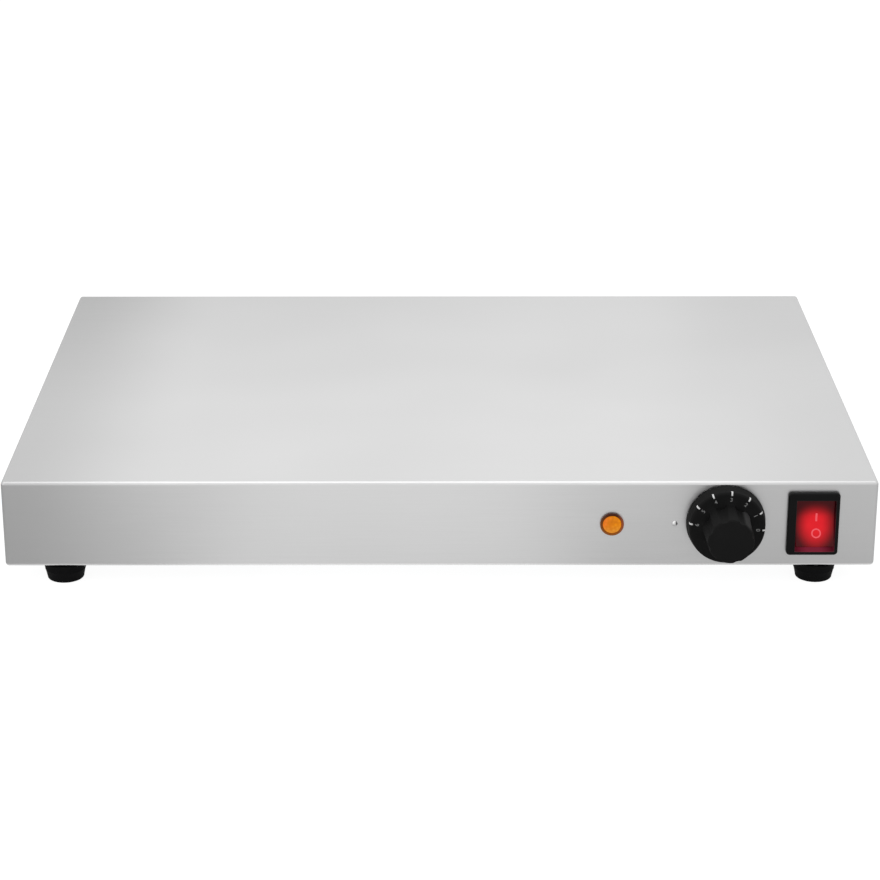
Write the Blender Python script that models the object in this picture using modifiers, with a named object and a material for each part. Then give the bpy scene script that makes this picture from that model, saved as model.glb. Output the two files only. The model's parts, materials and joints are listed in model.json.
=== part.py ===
"""Electric food warmer tray: a folded stainless cover over a clamped heating element.

Metres, +Z up, the front faces -Y, and the origin is the bottom centre of the whole object.
"""

import math

import bmesh
import bpy
from mathutils import Euler, Matrix, Vector

# Driving sizes
BODY_WIDTH = 0.500
BODY_DEPTH = 0.350
SKIRT_HEIGHT = 0.0522
FOOT_HEIGHT = 0.0109
GAP = 0.0003
OVERRUN = 0.001
WELD = 0.00001
SHARP_ANGLE = math.radians(45)

# Folded cover and base
SHEET = 0.001
BEND_RADIUS = 0.0022
BEND_SEGMENTS = 3
FLANGE_WIDTH = 0.022
BASE_SHEET = 0.0008
BASE_INSET = 0.005
BASE_CORNER = 0.003
BASE_SCREW_INSET = 0.016
VENT_LENGTH = 0.040
VENT_WIDTH = 0.004
VENT_PITCH = 0.012
VENT_GROUP_INSET = 0.120
VENT_COUNT = 5

# Screws, studs and nuts, all M4
SHANK_RADIUS = 0.002
HEAD_RADIUS = 0.0036
HEAD_HEIGHT = 0.0024
HEAD_CROWN = 0.0008
NUT_RADIUS = 0.00404
NUT_HEIGHT = 0.0032
BASE_SCREW_LENGTH = 0.006
SCREW_STEPS = 12

# Rubber feet
FOOT_TOP_RADIUS = 0.0127
FOOT_BOTTOM_RADIUS = 0.0105
FOOT_EDGE = 0.0007
FOOT_SIDE_INSET = 0.0324
FOOT_INSET = 0.0145
FOOT_BORE_RADIUS = SHANK_RADIUS + GAP
FOOT_RECESS_RADIUS = 0.0048
FOOT_RECESS_DEPTH = 0.006
FOOT_SCREW_GRIP = 0.002
FOOT_STEPS = 24

# Heated zone
SPREADER_SHEET = 0.0015
SPREADER_MARGIN = 0.014
SPREADER_CORNER = 0.006
ELEMENT_RADIUS = 0.00325
ELEMENT_ROWS = 4
ELEMENT_FIRST_ROW = 0.088
ELEMENT_LAST_ROW = 0.076
ELEMENT_BEND_INSET = 0.060
ELEMENT_END_INSET = 0.050
ELEMENT_BEND_STEPS = 9
BEAD_RADIUS = 0.003
BEAD_LENGTH = 0.007
PIN_RADIUS = 0.0015
PIN_LENGTH = 0.009
BAR_INSET = 0.140
BAR_WIDTH = 0.012
BAR_SHEET = 0.002
BAR_OVERHANG = 0.006
STUD_OFFSET = 0.014
STUD_OVER_NUT = 0.0008
PAD_HEIGHT = 0.012
PAD_ROUNDING = 0.002
TRAY_SHEET = 0.0008
TRAY_WALL = 0.010
TRAY_SIDE_INSET = 0.0265
TRAY_ROW_MARGIN = 0.0155
LEG_INSET = 0.100
LEG_WIDTH = 0.020
LEG_SHEET = 0.0012
LEG_FOOT = 0.010

# Thermostat
KNOB_INSET = 0.0865
KNOB_DROP = 0.0245
STAT_SCREW_X = 0.014
STAT_PLATE_WIDTH = 0.038
STAT_PLATE_HEIGHT = 0.026
STAT_PLATE_SHEET = 0.0015
STAT_PLATE_CORNER = 0.002
STAT_WIDTH = 0.040
STAT_HEIGHT = 0.032
STAT_DEPTH = 0.020
STAT_ROUNDING = 0.0015
STAT_SCREW_LENGTH = 0.007
STAT_POCKET = 0.006
CAPSULE_RADIUS = 0.010
CAPSULE_DEPTH = 0.004
CAPSULE_RISE = 0.004
TAB_WIDTH = 0.0063
TAB_SHEET = 0.0008
STAT_TAB_LENGTH = 0.009
STAT_TAB_X = 0.010
STAT_TAB_DROP = 0.011
SPINDLE_RADIUS = 0.003
SPINDLE_INSIDE = 0.010
SPINDLE_OUTSIDE = 0.018
SPINDLE_FLAT_LENGTH = 0.010
SPINDLE_FLAT_DEPTH = 0.0015
PANEL_BORE_RADIUS = 0.0045
CAPILLARY_RADIUS = 0.0008
BULB_RADIUS = 0.003
BULB_LENGTH = 0.080
BULB_TO_CUTOUT = 0.040
BULB_ROW = 0.052
CLIP_LENGTH = 0.010
CLIP_EAR = 0.006
CLIP_SHEET = 0.0008
CLIP_ARC_SHARES = (0, 0.2, 0.4, 0.6, 0.8, 1)

# Dial knob
KNOB_STANDOFF = 0.001
KNOB_BACK_RADIUS = 0.0227
KNOB_EDGE_RADIUS = 0.0217
KNOB_FACE_RADIUS = 0.0202
KNOB_SKIRT_DEPTH = 0.0090
KNOB_EDGE_DROP = 0.0012
KNOB_WALL = 0.002
KNOB_CAVITY_DEPTH = 0.007
KNOB_BOSS_RADIUS = 0.0058
KNOB_BOSS_RECESS = 0.001
HUB_BASE_RADIUS = 0.0143
HUB_FRONT_RADIUS = 0.0132
HUB_HEIGHT = 0.0205
HUB_ROUNDING = 0.0014
HUB_FLUTES = 8
FLUTE_RADIUS = 0.0042
FLUTE_DEPTH = 0.0021
FLUTE_SIDES = 16
KNOB_STEPS = 48
KNOB_REST_TILT = math.radians(-5.4)
KNOB_PROUD = KNOB_STANDOFF + KNOB_SKIRT_DEPTH + HUB_HEIGHT

# Index pip beside the knob
PIP_INSET = 0.1156
PIP_DROP = 0.0258
PIP_RADIUS = 0.0017
PIP_PROUD = 0.0010
PIP_SHANK_RADIUS = 0.0007
PIP_TAIL = 0.001

# Indicator lamp
LAMP_INSET = 0.1515
LAMP_DROP = 0.0258
BEZEL_RADIUS = 0.0068
BEZEL_PROUD = 0.0020
BEZEL_EDGE = 0.0006
LAMP_BODY_RADIUS = 0.0059
LAMP_BODY_LENGTH = 0.024
LENS_RADIUS = 0.0050
LENS_DOME = 0.0012
LENS_DOME_SHARES = (0.35, 0.7, 1)
LENS_SEAT = 0.005
LAMP_NUT_RADIUS = 0.0088
LAMP_NUT_HEIGHT = 0.0025

# Rocker switch
SWITCH_INSET = 0.0366
SWITCH_DROP = 0.0253
FRAME_WIDTH = 0.0296
FRAME_HEIGHT = 0.0382
FRAME_PROUD = 0.0025
FRAME_CORNER = 0.0022
FRAME_ROUNDING = 0.0009
ROCKER_OFFSET = 0.0014
ROCKER_DROP = 0.0012
OPENING_WIDTH = 0.0226
OPENING_HEIGHT = 0.0314
HOUSING_WALL = 0.0013
HOUSING_DEPTH = 0.026
CAVITY_DEPTH = 0.017
LUG_LENGTH = 0.005
LUG_PROUD = 0.0009
LUG_WIDTH = 0.012
PIVOT_DEPTH = 0.0055
PIVOT_RADIUS = 0.0015
PIVOT_ENGAGEMENT = 0.0009
ROCKER_CLEARANCE = 0.0004
ROCKER_TILT = math.radians(10)
ROCKER_SWEEP = math.radians(27)
ROCKER_BACK_SWEEP = math.radians(22)
ROCKER_END_STEPS = 4
ROCKER_HEEL_HALF = 0.005
ROCKER_HEEL_DEPTH = 0.009
SWITCH_TAB_X = 0.006
SWITCH_TAB_Z = 0.008
SWITCH_TAB_ROOT = 0.003
SWITCH_TAB_TAIL = 0.010

# Appliance inlet
INLET_INSET = 0.080
INLET_DROP = 0.025
INLET_FLANGE_WIDTH = 0.031
INLET_FLANGE_HEIGHT = 0.024
INLET_FLANGE = 0.0025
INLET_CORNER = 0.002
INLET_WIDTH = 0.027
INLET_HEIGHT = 0.020
INLET_DEPTH = 0.0195
SOCKET_WIDTH = 0.0235
SOCKET_HEIGHT = 0.0165
SOCKET_CHAMFER = 0.004
SOCKET_DEPTH = 0.0195
BLADE_SHEET = 0.002
BLADE_WIDTH = 0.004
BLADE_SINK = 0.005
BLADE_TAIL = 0.008
BLADE_X = 0.007
BLADE_DROP = 0.002
EARTH_RISE = 0.002
INLET_PROUD = INLET_FLANGE + GAP

# Safety cut-out and earth stud
CUTOUT_INSET = 0.190
CUTOUT_RADIUS = 0.008
CUTOUT_HEIGHT = 0.009
CUTOUT_EAR_WIDTH = 0.006
CUTOUT_EAR_REACH = 0.014
CUTOUT_EAR_SHEET = 0.0008
CUTOUT_TAB_Y = 0.0045
CUTOUT_TAB_LENGTH = 0.008
CUTOUT_TAB_WIDTH = 0.0048
CUTOUT_TAB_DROP = 0.006
EARTH_SIDE_INSET = 0.132
EARTH_INSET = 0.036
EARTH_LENGTH = 0.012

# Wires, with the lanes and levels that they keep to
WIRE_RADIUS = 0.0009
WIRE_LEAD = 0.006
WIRE_STEPS = 4
OUTER_LANE = 0.0065
INNER_LANE = 0.0115
LOW_LEVEL = 0.012
MID_LEVEL = 0.024
HIGH_LEVEL = 0.035
LINE_RUN = 0.038
NEUTRAL_RUN = 0.048

# Levels and planes worked out from the sizes above
BASE_BOTTOM = FOOT_HEIGHT + GAP
BASE_TOP = BASE_BOTTOM + BASE_SHEET
SHELL_BOTTOM = BASE_TOP + GAP
TOP = SHELL_BOTTOM + SKIRT_HEIGHT
CEILING = TOP - SHEET
FRONT = KNOB_PROUD - (BODY_DEPTH + KNOB_PROUD + INLET_PROUD) / 2
BACK = FRONT + BODY_DEPTH
MIDDLE = (FRONT + BACK) / 2
HALF_WIDTH = BODY_WIDTH / 2
RIGHT_WALL = HALF_WIDTH - SHEET
FOOT_X = HALF_WIDTH - FOOT_SIDE_INSET
VENT_GROUP_X = HALF_WIDTH - VENT_GROUP_INSET
ELEMENT_RUN_X = HALF_WIDTH - ELEMENT_BEND_INSET
ELEMENT_END_X = HALF_WIDTH - ELEMENT_END_INSET
BAR_X = HALF_WIDTH - BAR_INSET
TRAY_HALF_WIDTH = HALF_WIDTH - TRAY_SIDE_INSET
LEG_X = HALF_WIDTH - LEG_INSET
CUTOUT_X = HALF_WIDTH - CUTOUT_INSET
BULB_END_X = CUTOUT_X - BULB_TO_CUTOUT
LAMP_X = HALF_WIDTH - LAMP_INSET
PIP_X = HALF_WIDTH - PIP_INSET
KNOB_X = HALF_WIDTH - KNOB_INSET
SWITCH_X = HALF_WIDTH - SWITCH_INSET
INLET_X = HALF_WIDTH - INLET_INSET
EARTH_X = HALF_WIDTH - EARTH_SIDE_INSET
SPREADER_TOP = CEILING - GAP
SPREADER_BOTTOM = SPREADER_TOP - SPREADER_SHEET
ELEMENT_Z = SPREADER_BOTTOM - GAP - ELEMENT_RADIUS
BAR_TOP = ELEMENT_Z - ELEMENT_RADIUS - GAP
NUT_TOP = BAR_TOP - BAR_SHEET - GAP
STUD_END = NUT_TOP - NUT_HEIGHT - STUD_OVER_NUT
PAD_TOP = STUD_END - GAP
TRAY_BOTTOM = PAD_TOP - PAD_HEIGHT - GAP - TRAY_SHEET
FIRST_ROW = FRONT + ELEMENT_FIRST_ROW
LAST_ROW = BACK - ELEMENT_LAST_ROW
ELEMENT_PITCH = (LAST_ROW - FIRST_ROW) / (ELEMENT_ROWS - 1)
STUD_ROWS = (FIRST_ROW - STUD_OFFSET, LAST_ROW + STUD_OFFSET)
TRAY_FRONT = FIRST_ROW - TRAY_ROW_MARGIN
TRAY_BACK = LAST_ROW + TRAY_ROW_MARGIN
PIP_Z = TOP - PIP_DROP
KNOB_Z = TOP - KNOB_DROP
LAMP_Z = TOP - LAMP_DROP
SWITCH_Z = TOP - SWITCH_DROP
INLET_Z = TOP - INLET_DROP
STAT_FRONT = FRONT + SHEET + STAT_PLATE_SHEET + 2 * GAP
STAT_BACK = STAT_FRONT + STAT_DEPTH
SWITCH_BACK = FRONT + HOUSING_DEPTH
ROCKER_X = SWITCH_X + ROCKER_OFFSET
ROCKER_Z = SWITCH_Z - ROCKER_DROP
PIVOT_Y = FRONT + PIVOT_DEPTH
ROCKER_RADIUS = OPENING_HEIGHT / 2 - ROCKER_CLEARANCE
INLET_FACE = BACK + INLET_PROUD
INLET_BACK = BACK - INLET_DEPTH
CUTOUT_TAB_END = CUTOUT_X + CUTOUT_RADIUS + CUTOUT_TAB_LENGTH
CUTOUT_TAB_Z = SPREADER_BOTTOM - GAP - CUTOUT_TAB_DROP
FOOT_PLACES = {
    "front_left": (-FOOT_X, FRONT + FOOT_INSET),
    "front_right": (FOOT_X, FRONT + FOOT_INSET),
    "back_left": (-FOOT_X, BACK - FOOT_INSET),
    "back_right": (FOOT_X, BACK - FOOT_INSET),
}
BASE_SCREW_PLACES = {
    "front": (0, FRONT + BASE_SCREW_INSET),
    "back": (0, BACK - BASE_SCREW_INSET),
    "left": (BASE_SCREW_INSET - HALF_WIDTH, MIDDLE),
    "right": (HALF_WIDTH - BASE_SCREW_INSET, MIDDLE),
}
STUD_PLACES = {
    "front_left": (-BAR_X, STUD_ROWS[0]),
    "front_right": (BAR_X, STUD_ROWS[0]),
    "back_left": (-BAR_X, STUD_ROWS[1]),
    "back_right": (BAR_X, STUD_ROWS[1]),
}
SWITCH_TABS = {
    "line_in": (ROCKER_X + SWITCH_TAB_X, SWITCH_Z + SWITCH_TAB_Z),
    "line_out": (ROCKER_X + SWITCH_TAB_X, SWITCH_Z - SWITCH_TAB_Z),
    "neutral_in": (ROCKER_X - SWITCH_TAB_X, SWITCH_Z + SWITCH_TAB_Z),
    "neutral_out": (ROCKER_X - SWITCH_TAB_X, SWITCH_Z - SWITCH_TAB_Z),
}
INLET_BLADES = {
    "line": (INLET_X + BLADE_X, INLET_Z - BLADE_DROP),
    "neutral": (INLET_X - BLADE_X, INLET_Z - BLADE_DROP),
    "earth": (INLET_X, INLET_Z + EARTH_RISE),
}

# Directions in which a wire leaves a terminal
TOWARDS_FRONT = (0, -1, 0)
TOWARDS_BACK = (0, 1, 0)
LEFTWARDS = (-1, 0, 0)
RIGHTWARDS = (1, 0, 0)
UPWARDS = (0, 0, 1)

# Turns that point a piece's own +Z along a world direction
UP = (0, 0, 0)
DOWN = (math.pi, 0, 0)
TO_FRONT = (math.pi / 2, 0, 0)
TO_BACK = (-math.pi / 2, 0, 0)
TO_RIGHT = (math.pi / 2, 0, math.pi / 2)


def clear_scene():
    for obj in list(bpy.data.objects):
        bpy.data.objects.remove(obj, do_unlink=True)


def collection(name):
    made = bpy.data.collections.new(name)
    bpy.context.scene.collection.children.link(made)
    return made


clear_scene()
PARTS = collection("food_warmer_tray")
CUTTERS = collection("cutters")


def finish(name, colour, metallic, roughness):
    made = bpy.data.materials.new(name)
    made.use_nodes = True
    shader = made.node_tree.nodes["Principled BSDF"]
    shader.inputs["Base Color"].default_value = (*colour, 1)
    shader.inputs["Metallic"].default_value = metallic
    shader.inputs["Roughness"].default_value = roughness
    return made


STAINLESS = finish("brushed_stainless", (0.62, 0.62, 0.61), 1, 0.35)
ZINC = finish("zinc_plated_steel", (0.55, 0.56, 0.57), 1, 0.4)
ALUMINIUM = finish("aluminium", (0.72, 0.73, 0.74), 1, 0.35)
SHEATH = finish("element_sheath", (0.22, 0.21, 0.2), 1, 0.5)
BRASS = finish("brass", (0.7, 0.52, 0.25), 1, 0.35)
COPPER = finish("copper", (0.72, 0.38, 0.25), 1, 0.35)
RUBBER = finish("black_rubber", (0.012, 0.012, 0.012), 0, 0.75)
BLACK = finish("black_plastic", (0.014, 0.014, 0.014), 0, 0.4)
BROWN = finish("lamp_bezel", (0.06, 0.02, 0.01), 0, 0.35)
AMBER = finish("amber_lens", (0.8, 0.28, 0.01), 0, 0.2)
RED = finish("red_lens", (0.7, 0.01, 0.015), 0, 0.25)
CERAMIC = finish("ceramic", (0.8, 0.78, 0.72), 0, 0.6)
FIBRE = finish("mineral_fibre", (0.78, 0.74, 0.62), 0, 0.95)
PHENOLIC = finish("thermostat_case", (0.05, 0.05, 0.055), 0, 0.5)
WIRE_BROWN = finish("wire_brown", (0.16, 0.05, 0.02), 0, 0.45)
WIRE_BLUE = finish("wire_blue", (0.02, 0.08, 0.45), 0, 0.45)
WIRE_GREEN = finish("wire_green_yellow", (0.2, 0.45, 0.05), 0, 0.45)


def add(name, data, material, place=(0, 0, 0), turn=UP):
    """Puts a mesh or curve in the scene as a named sub-part."""
    data.materials.append(material)
    obj = bpy.data.objects.new(name, data)
    obj.location = place
    obj.rotation_euler = turn
    PARTS.objects.link(obj)
    return obj


def mesh_from(name, bm):
    mesh = bpy.data.meshes.new(name)
    bm.to_mesh(mesh)
    bm.free()
    return mesh


def block(name, size, place, material, turn=UP, rounding=0.0):
    """A box of a size about its own centre, its edges rounded if a rounding is given."""
    bm = bmesh.new()
    bmesh.ops.create_cube(bm, size=1, matrix=Matrix.Diagonal((*size, 1)))
    obj = add(name, mesh_from(name, bm), material, place, turn)
    if rounding:
        round_edges(obj, rounding)
    return obj


def round_edges(obj, width, segments=2):
    bevel = obj.modifiers.new("rounding", "BEVEL")
    bevel.width = width
    bevel.segments = segments
    bevel.limit_method = "ANGLE"
    bevel.angle_limit = SHARP_ANGLE


def rod(name, radius, length, place, material, turn=UP, sides=16):
    """A cylinder that starts at its place and runs along its own +Z."""
    bm = bmesh.new()
    lift = Matrix.Translation((0, 0, length / 2))
    bmesh.ops.create_cone(
        bm, cap_ends=True, segments=sides, radius1=radius, radius2=radius, depth=length, matrix=lift
    )
    return add(name, mesh_from(name, bm), material, place, turn)


def turned(name, outline, place, material, turn=UP, steps=24, ring=False):
    """A lathe shape from (radius, height) points that run down its outer side."""
    bm = bmesh.new()
    points = [bm.verts.new((radius, 0, height)) for radius, height in outline]
    ends = points[1:] + points[:1] if ring else points[1:]
    for start, end in zip(points, ends):
        bm.edges.new((start, end))
    obj = add(name, mesh_from(name, bm), material, place, turn)
    screw = obj.modifiers.new("lathe", "SCREW")
    screw.steps = steps
    screw.render_steps = steps
    screw.use_merge_vertices = True
    screw.merge_threshold = WELD
    screw.use_smooth_shade = True
    return obj


def extruded(name, outline, thickness, place, material, turn=UP):
    """A flat outline made into a solid of a thickness, centred on its own XY plane."""
    curve = bpy.data.curves.new(name, "CURVE")
    curve.dimensions = "2D"
    curve.fill_mode = "BOTH"
    curve.extrude = thickness / 2
    spline = curve.splines.new("POLY")
    spline.points.add(len(outline) - 1)
    spline.use_cyclic_u = True
    for point, (x, y) in zip(spline.points, outline):
        point.co = (x, y, 0, 1)
    drawn = bpy.data.objects.new(name + "_outline", curve)
    PARTS.objects.link(drawn)
    evaluated = drawn.evaluated_get(bpy.context.evaluated_depsgraph_get())
    mesh = bpy.data.meshes.new_from_object(evaluated)
    bpy.data.objects.remove(drawn)
    bm = bmesh.new()
    bm.from_mesh(mesh)
    bmesh.ops.remove_doubles(bm, verts=bm.verts, dist=WELD)
    bmesh.ops.recalc_face_normals(bm, faces=bm.faces)
    bm.to_mesh(mesh)
    bm.free()
    return add(name, mesh, material, place, turn)


def rounded_rectangle(width, height, corner, steps=3):
    """The outline of a rectangle with round corners, as points in order."""
    points = []
    for quarter, (side_x, side_y) in enumerate(((1, 1), (-1, 1), (-1, -1), (1, -1))):
        centre_x = side_x * (width / 2 - corner)
        centre_y = side_y * (height / 2 - corner)
        for step in range(steps + 1):
            angle = math.pi / 2 * (quarter + step / steps)
            points.append((centre_x + corner * math.cos(angle), centre_y + corner * math.sin(angle)))
    return points


def plate(name, width, height, thickness, corner, place, material, turn=UP):
    return extruded(name, rounded_rectangle(width, height, corner), thickness, place, material, turn)


def ribbon(name, line, width, thickness, place, material, turn=UP):
    """A bent strip: a line of (x, z) points, given a width along Y and a sheet thickness."""
    bm = bmesh.new()
    rows = [
        [bm.verts.new((x, side * width / 2, z)) for x, z in line]
        for side in (-1, 1)
    ]
    for step in range(len(line) - 1):
        bm.faces.new((rows[0][step], rows[0][step + 1], rows[1][step + 1], rows[1][step]))
    obj = add(name, mesh_from(name, bm), material, place, turn)
    thicken(obj, thickness, 0)
    return obj


def thicken(obj, thickness, offset):
    solidify = obj.modifiers.new("sheet", "SOLIDIFY")
    solidify.thickness = thickness
    solidify.offset = offset
    solidify.use_even_offset = True


def tube(name, points, radius, material):
    """A round wire or tube along points, with closed ends."""
    curve = bpy.data.curves.new(name, "CURVE")
    curve.dimensions = "3D"
    curve.bevel_depth = radius
    curve.bevel_resolution = 2
    curve.use_fill_caps = True
    spline = curve.splines.new("POLY")
    spline.points.add(len(points) - 1)
    for point, place in zip(spline.points, points):
        point.co = (*place, 1)
    return add(name, curve, material)


def combine(obj, tool, operation):
    """Cuts a piece with a tool or joins the tool to it, and hides the tool."""
    boolean = obj.modifiers.new(tool.name, "BOOLEAN")
    boolean.operation = operation
    boolean.object = tool
    boolean.solver = "EXACT"
    PARTS.objects.unlink(tool)
    CUTTERS.objects.link(tool)
    tool.hide_render = True
    tool.display_type = "WIRE"


def cut(obj, tool):
    combine(obj, tool, "DIFFERENCE")


def join(obj, tool):
    combine(obj, tool, "UNION")


def cut_round(obj, name, radius, place, length, turn=UP, sides=16):
    """Bores a round hole that starts an overrun before its place."""
    axis = Euler(turn).to_matrix() @ Vector((0, 0, 1))
    start = Vector(place) - axis * OVERRUN
    cut(obj, rod(name, radius, length + OVERRUN, start, STAINLESS, turn, sides))


def cut_box(obj, name, size, place):
    cut(obj, block(name, size, place, STAINLESS))


def screw(name, length, place, turn):
    """A pan-head screw whose head rests on its place, the shank running along its own -Z."""
    outline = [
        (0, HEAD_HEIGHT),
        (HEAD_RADIUS - HEAD_CROWN, HEAD_HEIGHT),
        (HEAD_RADIUS, HEAD_HEIGHT - HEAD_CROWN),
        (HEAD_RADIUS, 0),
        (SHANK_RADIUS, 0),
        (SHANK_RADIUS, -length),
        (0, -length),
    ]
    return turned(name, outline, place, ZINC, turn, SCREW_STEPS)


def make_top_shell():
    """The folded cover: top, four skirts and a return flange all round, with studs welded under the top."""
    size = (BODY_WIDTH, BODY_DEPTH, SKIRT_HEIGHT)
    shell = block("top_shell", size, (0, MIDDLE, SHELL_BOTTOM + SKIRT_HEIGHT / 2), STAINLESS)
    bm = bmesh.new()
    bm.from_mesh(shell.data)
    bottom = min(bm.faces, key=lambda face: face.calc_center_median().z)
    bmesh.ops.inset_region(bm, faces=[bottom], thickness=FLANGE_WIDTH, use_even_offset=True)
    bmesh.ops.delete(bm, geom=[bottom], context="FACES")
    bm.to_mesh(shell.data)
    bm.free()
    round_edges(shell, BEND_RADIUS, BEND_SEGMENTS)
    thicken(shell, SHEET, -1)
    for place, (x, y) in STUD_PLACES.items():
        length = CEILING - STUD_END + SHEET / 2
        join(shell, rod("stud_" + place, SHANK_RADIUS, length, (x, y, STUD_END), STAINLESS, sides=12))
    for place, (x, y) in {**FOOT_PLACES, **BASE_SCREW_PLACES}.items():
        name = "flange_hole_" + place
        cut_round(shell, name, SHANK_RADIUS + GAP, (x, y, SHELL_BOTTOM), SHEET + OVERRUN)
    cut_panel(shell)


def cut_panel(shell):
    """Opens the front skirt for the controls and the back skirt for the inlet."""
    through = SHEET + OVERRUN
    holes = {
        "lamp_hole": (LAMP_BODY_RADIUS, LAMP_X, LAMP_Z),
        "pip_hole": (PIP_SHANK_RADIUS, PIP_X, PIP_Z),
        "spindle_hole": (PANEL_BORE_RADIUS, KNOB_X, KNOB_Z),
        "stat_hole_left": (SHANK_RADIUS, KNOB_X - STAT_SCREW_X, KNOB_Z),
        "stat_hole_right": (SHANK_RADIUS, KNOB_X + STAT_SCREW_X, KNOB_Z),
    }
    for name, (radius, x, z) in holes.items():
        cut_round(shell, name, radius + GAP, (x, FRONT, z), through, TO_BACK, sides=24)
    wall_cut = 2 * (SHEET + OVERRUN)
    size = (housing_width() + 2 * GAP, wall_cut, housing_height() + 2 * GAP)
    cut_box(shell, "switch_hole", size, (ROCKER_X, FRONT, ROCKER_Z))
    size = (INLET_WIDTH + 2 * GAP, wall_cut, INLET_HEIGHT + 2 * GAP)
    cut_box(shell, "inlet_hole", size, (INLET_X, BACK, INLET_Z))


def make_base_plate():
    """The screwed-on base with two groups of vent slots."""
    width = BODY_WIDTH - 2 * BASE_INSET
    depth = BODY_DEPTH - 2 * BASE_INSET
    middle = BASE_BOTTOM + BASE_SHEET / 2
    base = plate("base_plate", width, depth, BASE_SHEET, BASE_CORNER, (0, MIDDLE, middle), ZINC)
    holes = {**FOOT_PLACES, **BASE_SCREW_PLACES, "earth": (EARTH_X, BACK - EARTH_INSET)}
    for place, (x, y) in holes.items():
        name = "base_hole_" + place
        cut_round(base, name, SHANK_RADIUS + GAP, (x, y, BASE_BOTTOM), BASE_SHEET + OVERRUN)
    for side in (-1, 1):
        for slot in range(VENT_COUNT):
            name = f"vent_{'right' if side > 0 else 'left'}_{slot + 1}"
            y = MIDDLE + (slot - (VENT_COUNT - 1) / 2) * VENT_PITCH
            place = (side * VENT_GROUP_X, y, middle)
            corner = VENT_WIDTH / 2 - GAP / 3
            cut(base, plate(name, VENT_LENGTH, VENT_WIDTH, 2 * OVERRUN, corner, place, ZINC))


def make_feet():
    """Tapered rubber feet, each with a recessed screw that bites in the cover's flange."""
    outline = [
        (FOOT_TOP_RADIUS, FOOT_HEIGHT),
        (FOOT_BOTTOM_RADIUS, FOOT_EDGE),
        (FOOT_BOTTOM_RADIUS - FOOT_EDGE / 3, FOOT_EDGE / 3),
        (FOOT_BOTTOM_RADIUS - FOOT_EDGE, 0),
        (FOOT_RECESS_RADIUS, 0),
        (FOOT_RECESS_RADIUS, FOOT_RECESS_DEPTH),
        (FOOT_BORE_RADIUS, FOOT_RECESS_DEPTH),
        (FOOT_BORE_RADIUS, FOOT_HEIGHT),
    ]
    seat = FOOT_RECESS_DEPTH - GAP
    length = SHELL_BOTTOM + SHEET + FOOT_SCREW_GRIP - seat
    for place, (x, y) in FOOT_PLACES.items():
        turned("foot_" + place, outline, (x, y, 0), RUBBER, steps=FOOT_STEPS, ring=True)
        screw("foot_screw_" + place, length, (x, y, seat), DOWN)


def make_base_screws():
    for place, (x, y) in BASE_SCREW_PLACES.items():
        screw("base_screw_" + place, BASE_SCREW_LENGTH, (x, y, BASE_BOTTOM - GAP), DOWN)


def make_heat_spreader():
    width = BODY_WIDTH - 2 * (SHEET + SPREADER_MARGIN)
    depth = BODY_DEPTH - 2 * (SHEET + SPREADER_MARGIN)
    place = (0, MIDDLE, SPREADER_TOP - SPREADER_SHEET / 2)
    spreader = plate("heat_spreader", width, depth, SPREADER_SHEET, SPREADER_CORNER, place, ALUMINIUM)
    for place, (x, y) in STUD_PLACES.items():
        name = "spreader_hole_" + place
        cut_round(spreader, name, SHANK_RADIUS + GAP, (x, y, SPREADER_BOTTOM), 2 * SPREADER_SHEET)


def element_route():
    """Straight runs joined by half-round bends, both ends at the right."""
    bend = ELEMENT_PITCH / 2
    points = [(ELEMENT_END_X, FIRST_ROW, ELEMENT_Z)]
    for row in range(ELEMENT_ROWS - 1):
        side = -1 if row % 2 == 0 else 1
        centre_y = FIRST_ROW + (row + 1 / 2) * ELEMENT_PITCH
        for step in range(ELEMENT_BEND_STEPS + 1):
            angle = math.pi * (step / ELEMENT_BEND_STEPS - 1 / 2)
            x = side * (ELEMENT_RUN_X + bend * math.cos(angle))
            points.append((x, centre_y + bend * math.sin(angle), ELEMENT_Z))
    points.append((ELEMENT_END_X, LAST_ROW, ELEMENT_Z))
    return points


def make_element():
    """The tubular element and the insulated pin at each of its ends."""
    tube("heating_element", element_route(), ELEMENT_RADIUS, SHEATH)
    reach = BEAD_LENGTH + PIN_LENGTH
    outline = [
        (0, reach),
        (PIN_RADIUS, reach),
        (PIN_RADIUS, BEAD_LENGTH),
        (BEAD_RADIUS, BEAD_LENGTH),
        (BEAD_RADIUS, 0),
        (0, 0),
    ]
    for name, row in (("front", FIRST_ROW), ("back", LAST_ROW)):
        place = (ELEMENT_END_X + GAP, row, ELEMENT_Z)
        turned("element_terminal_" + name, outline, place, CERAMIC, TO_RIGHT, steps=12)


def make_clamps():
    """Two bars across the element, drawn up by nuts on the cover's studs."""
    length = STUD_ROWS[1] - STUD_ROWS[0] + 2 * BAR_OVERHANG
    size = (BAR_WIDTH, length, BAR_SHEET)
    for name, side in (("left", -1), ("right", 1)):
        place = (side * BAR_X, (STUD_ROWS[0] + STUD_ROWS[1]) / 2, BAR_TOP - BAR_SHEET / 2)
        bar = block("clamp_bar_" + name, size, place, ZINC)
        for end, row in (("front", STUD_ROWS[0]), ("back", STUD_ROWS[1])):
            hole = f"bar_hole_{end}_{name}"
            start = (side * BAR_X, row, BAR_TOP - BAR_SHEET)
            cut_round(bar, hole, SHANK_RADIUS + GAP, start, BAR_SHEET + OVERRUN)
    for name, (x, y) in STUD_PLACES.items():
        nut = rod("clamp_nut_" + name, NUT_RADIUS, NUT_HEIGHT, (x, y, NUT_TOP - NUT_HEIGHT), ZINC, sides=6)
        start = (x, y, NUT_TOP - NUT_HEIGHT)
        cut_round(nut, "nut_bore_" + name, SHANK_RADIUS + GAP, start, NUT_HEIGHT + OVERRUN)


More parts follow.
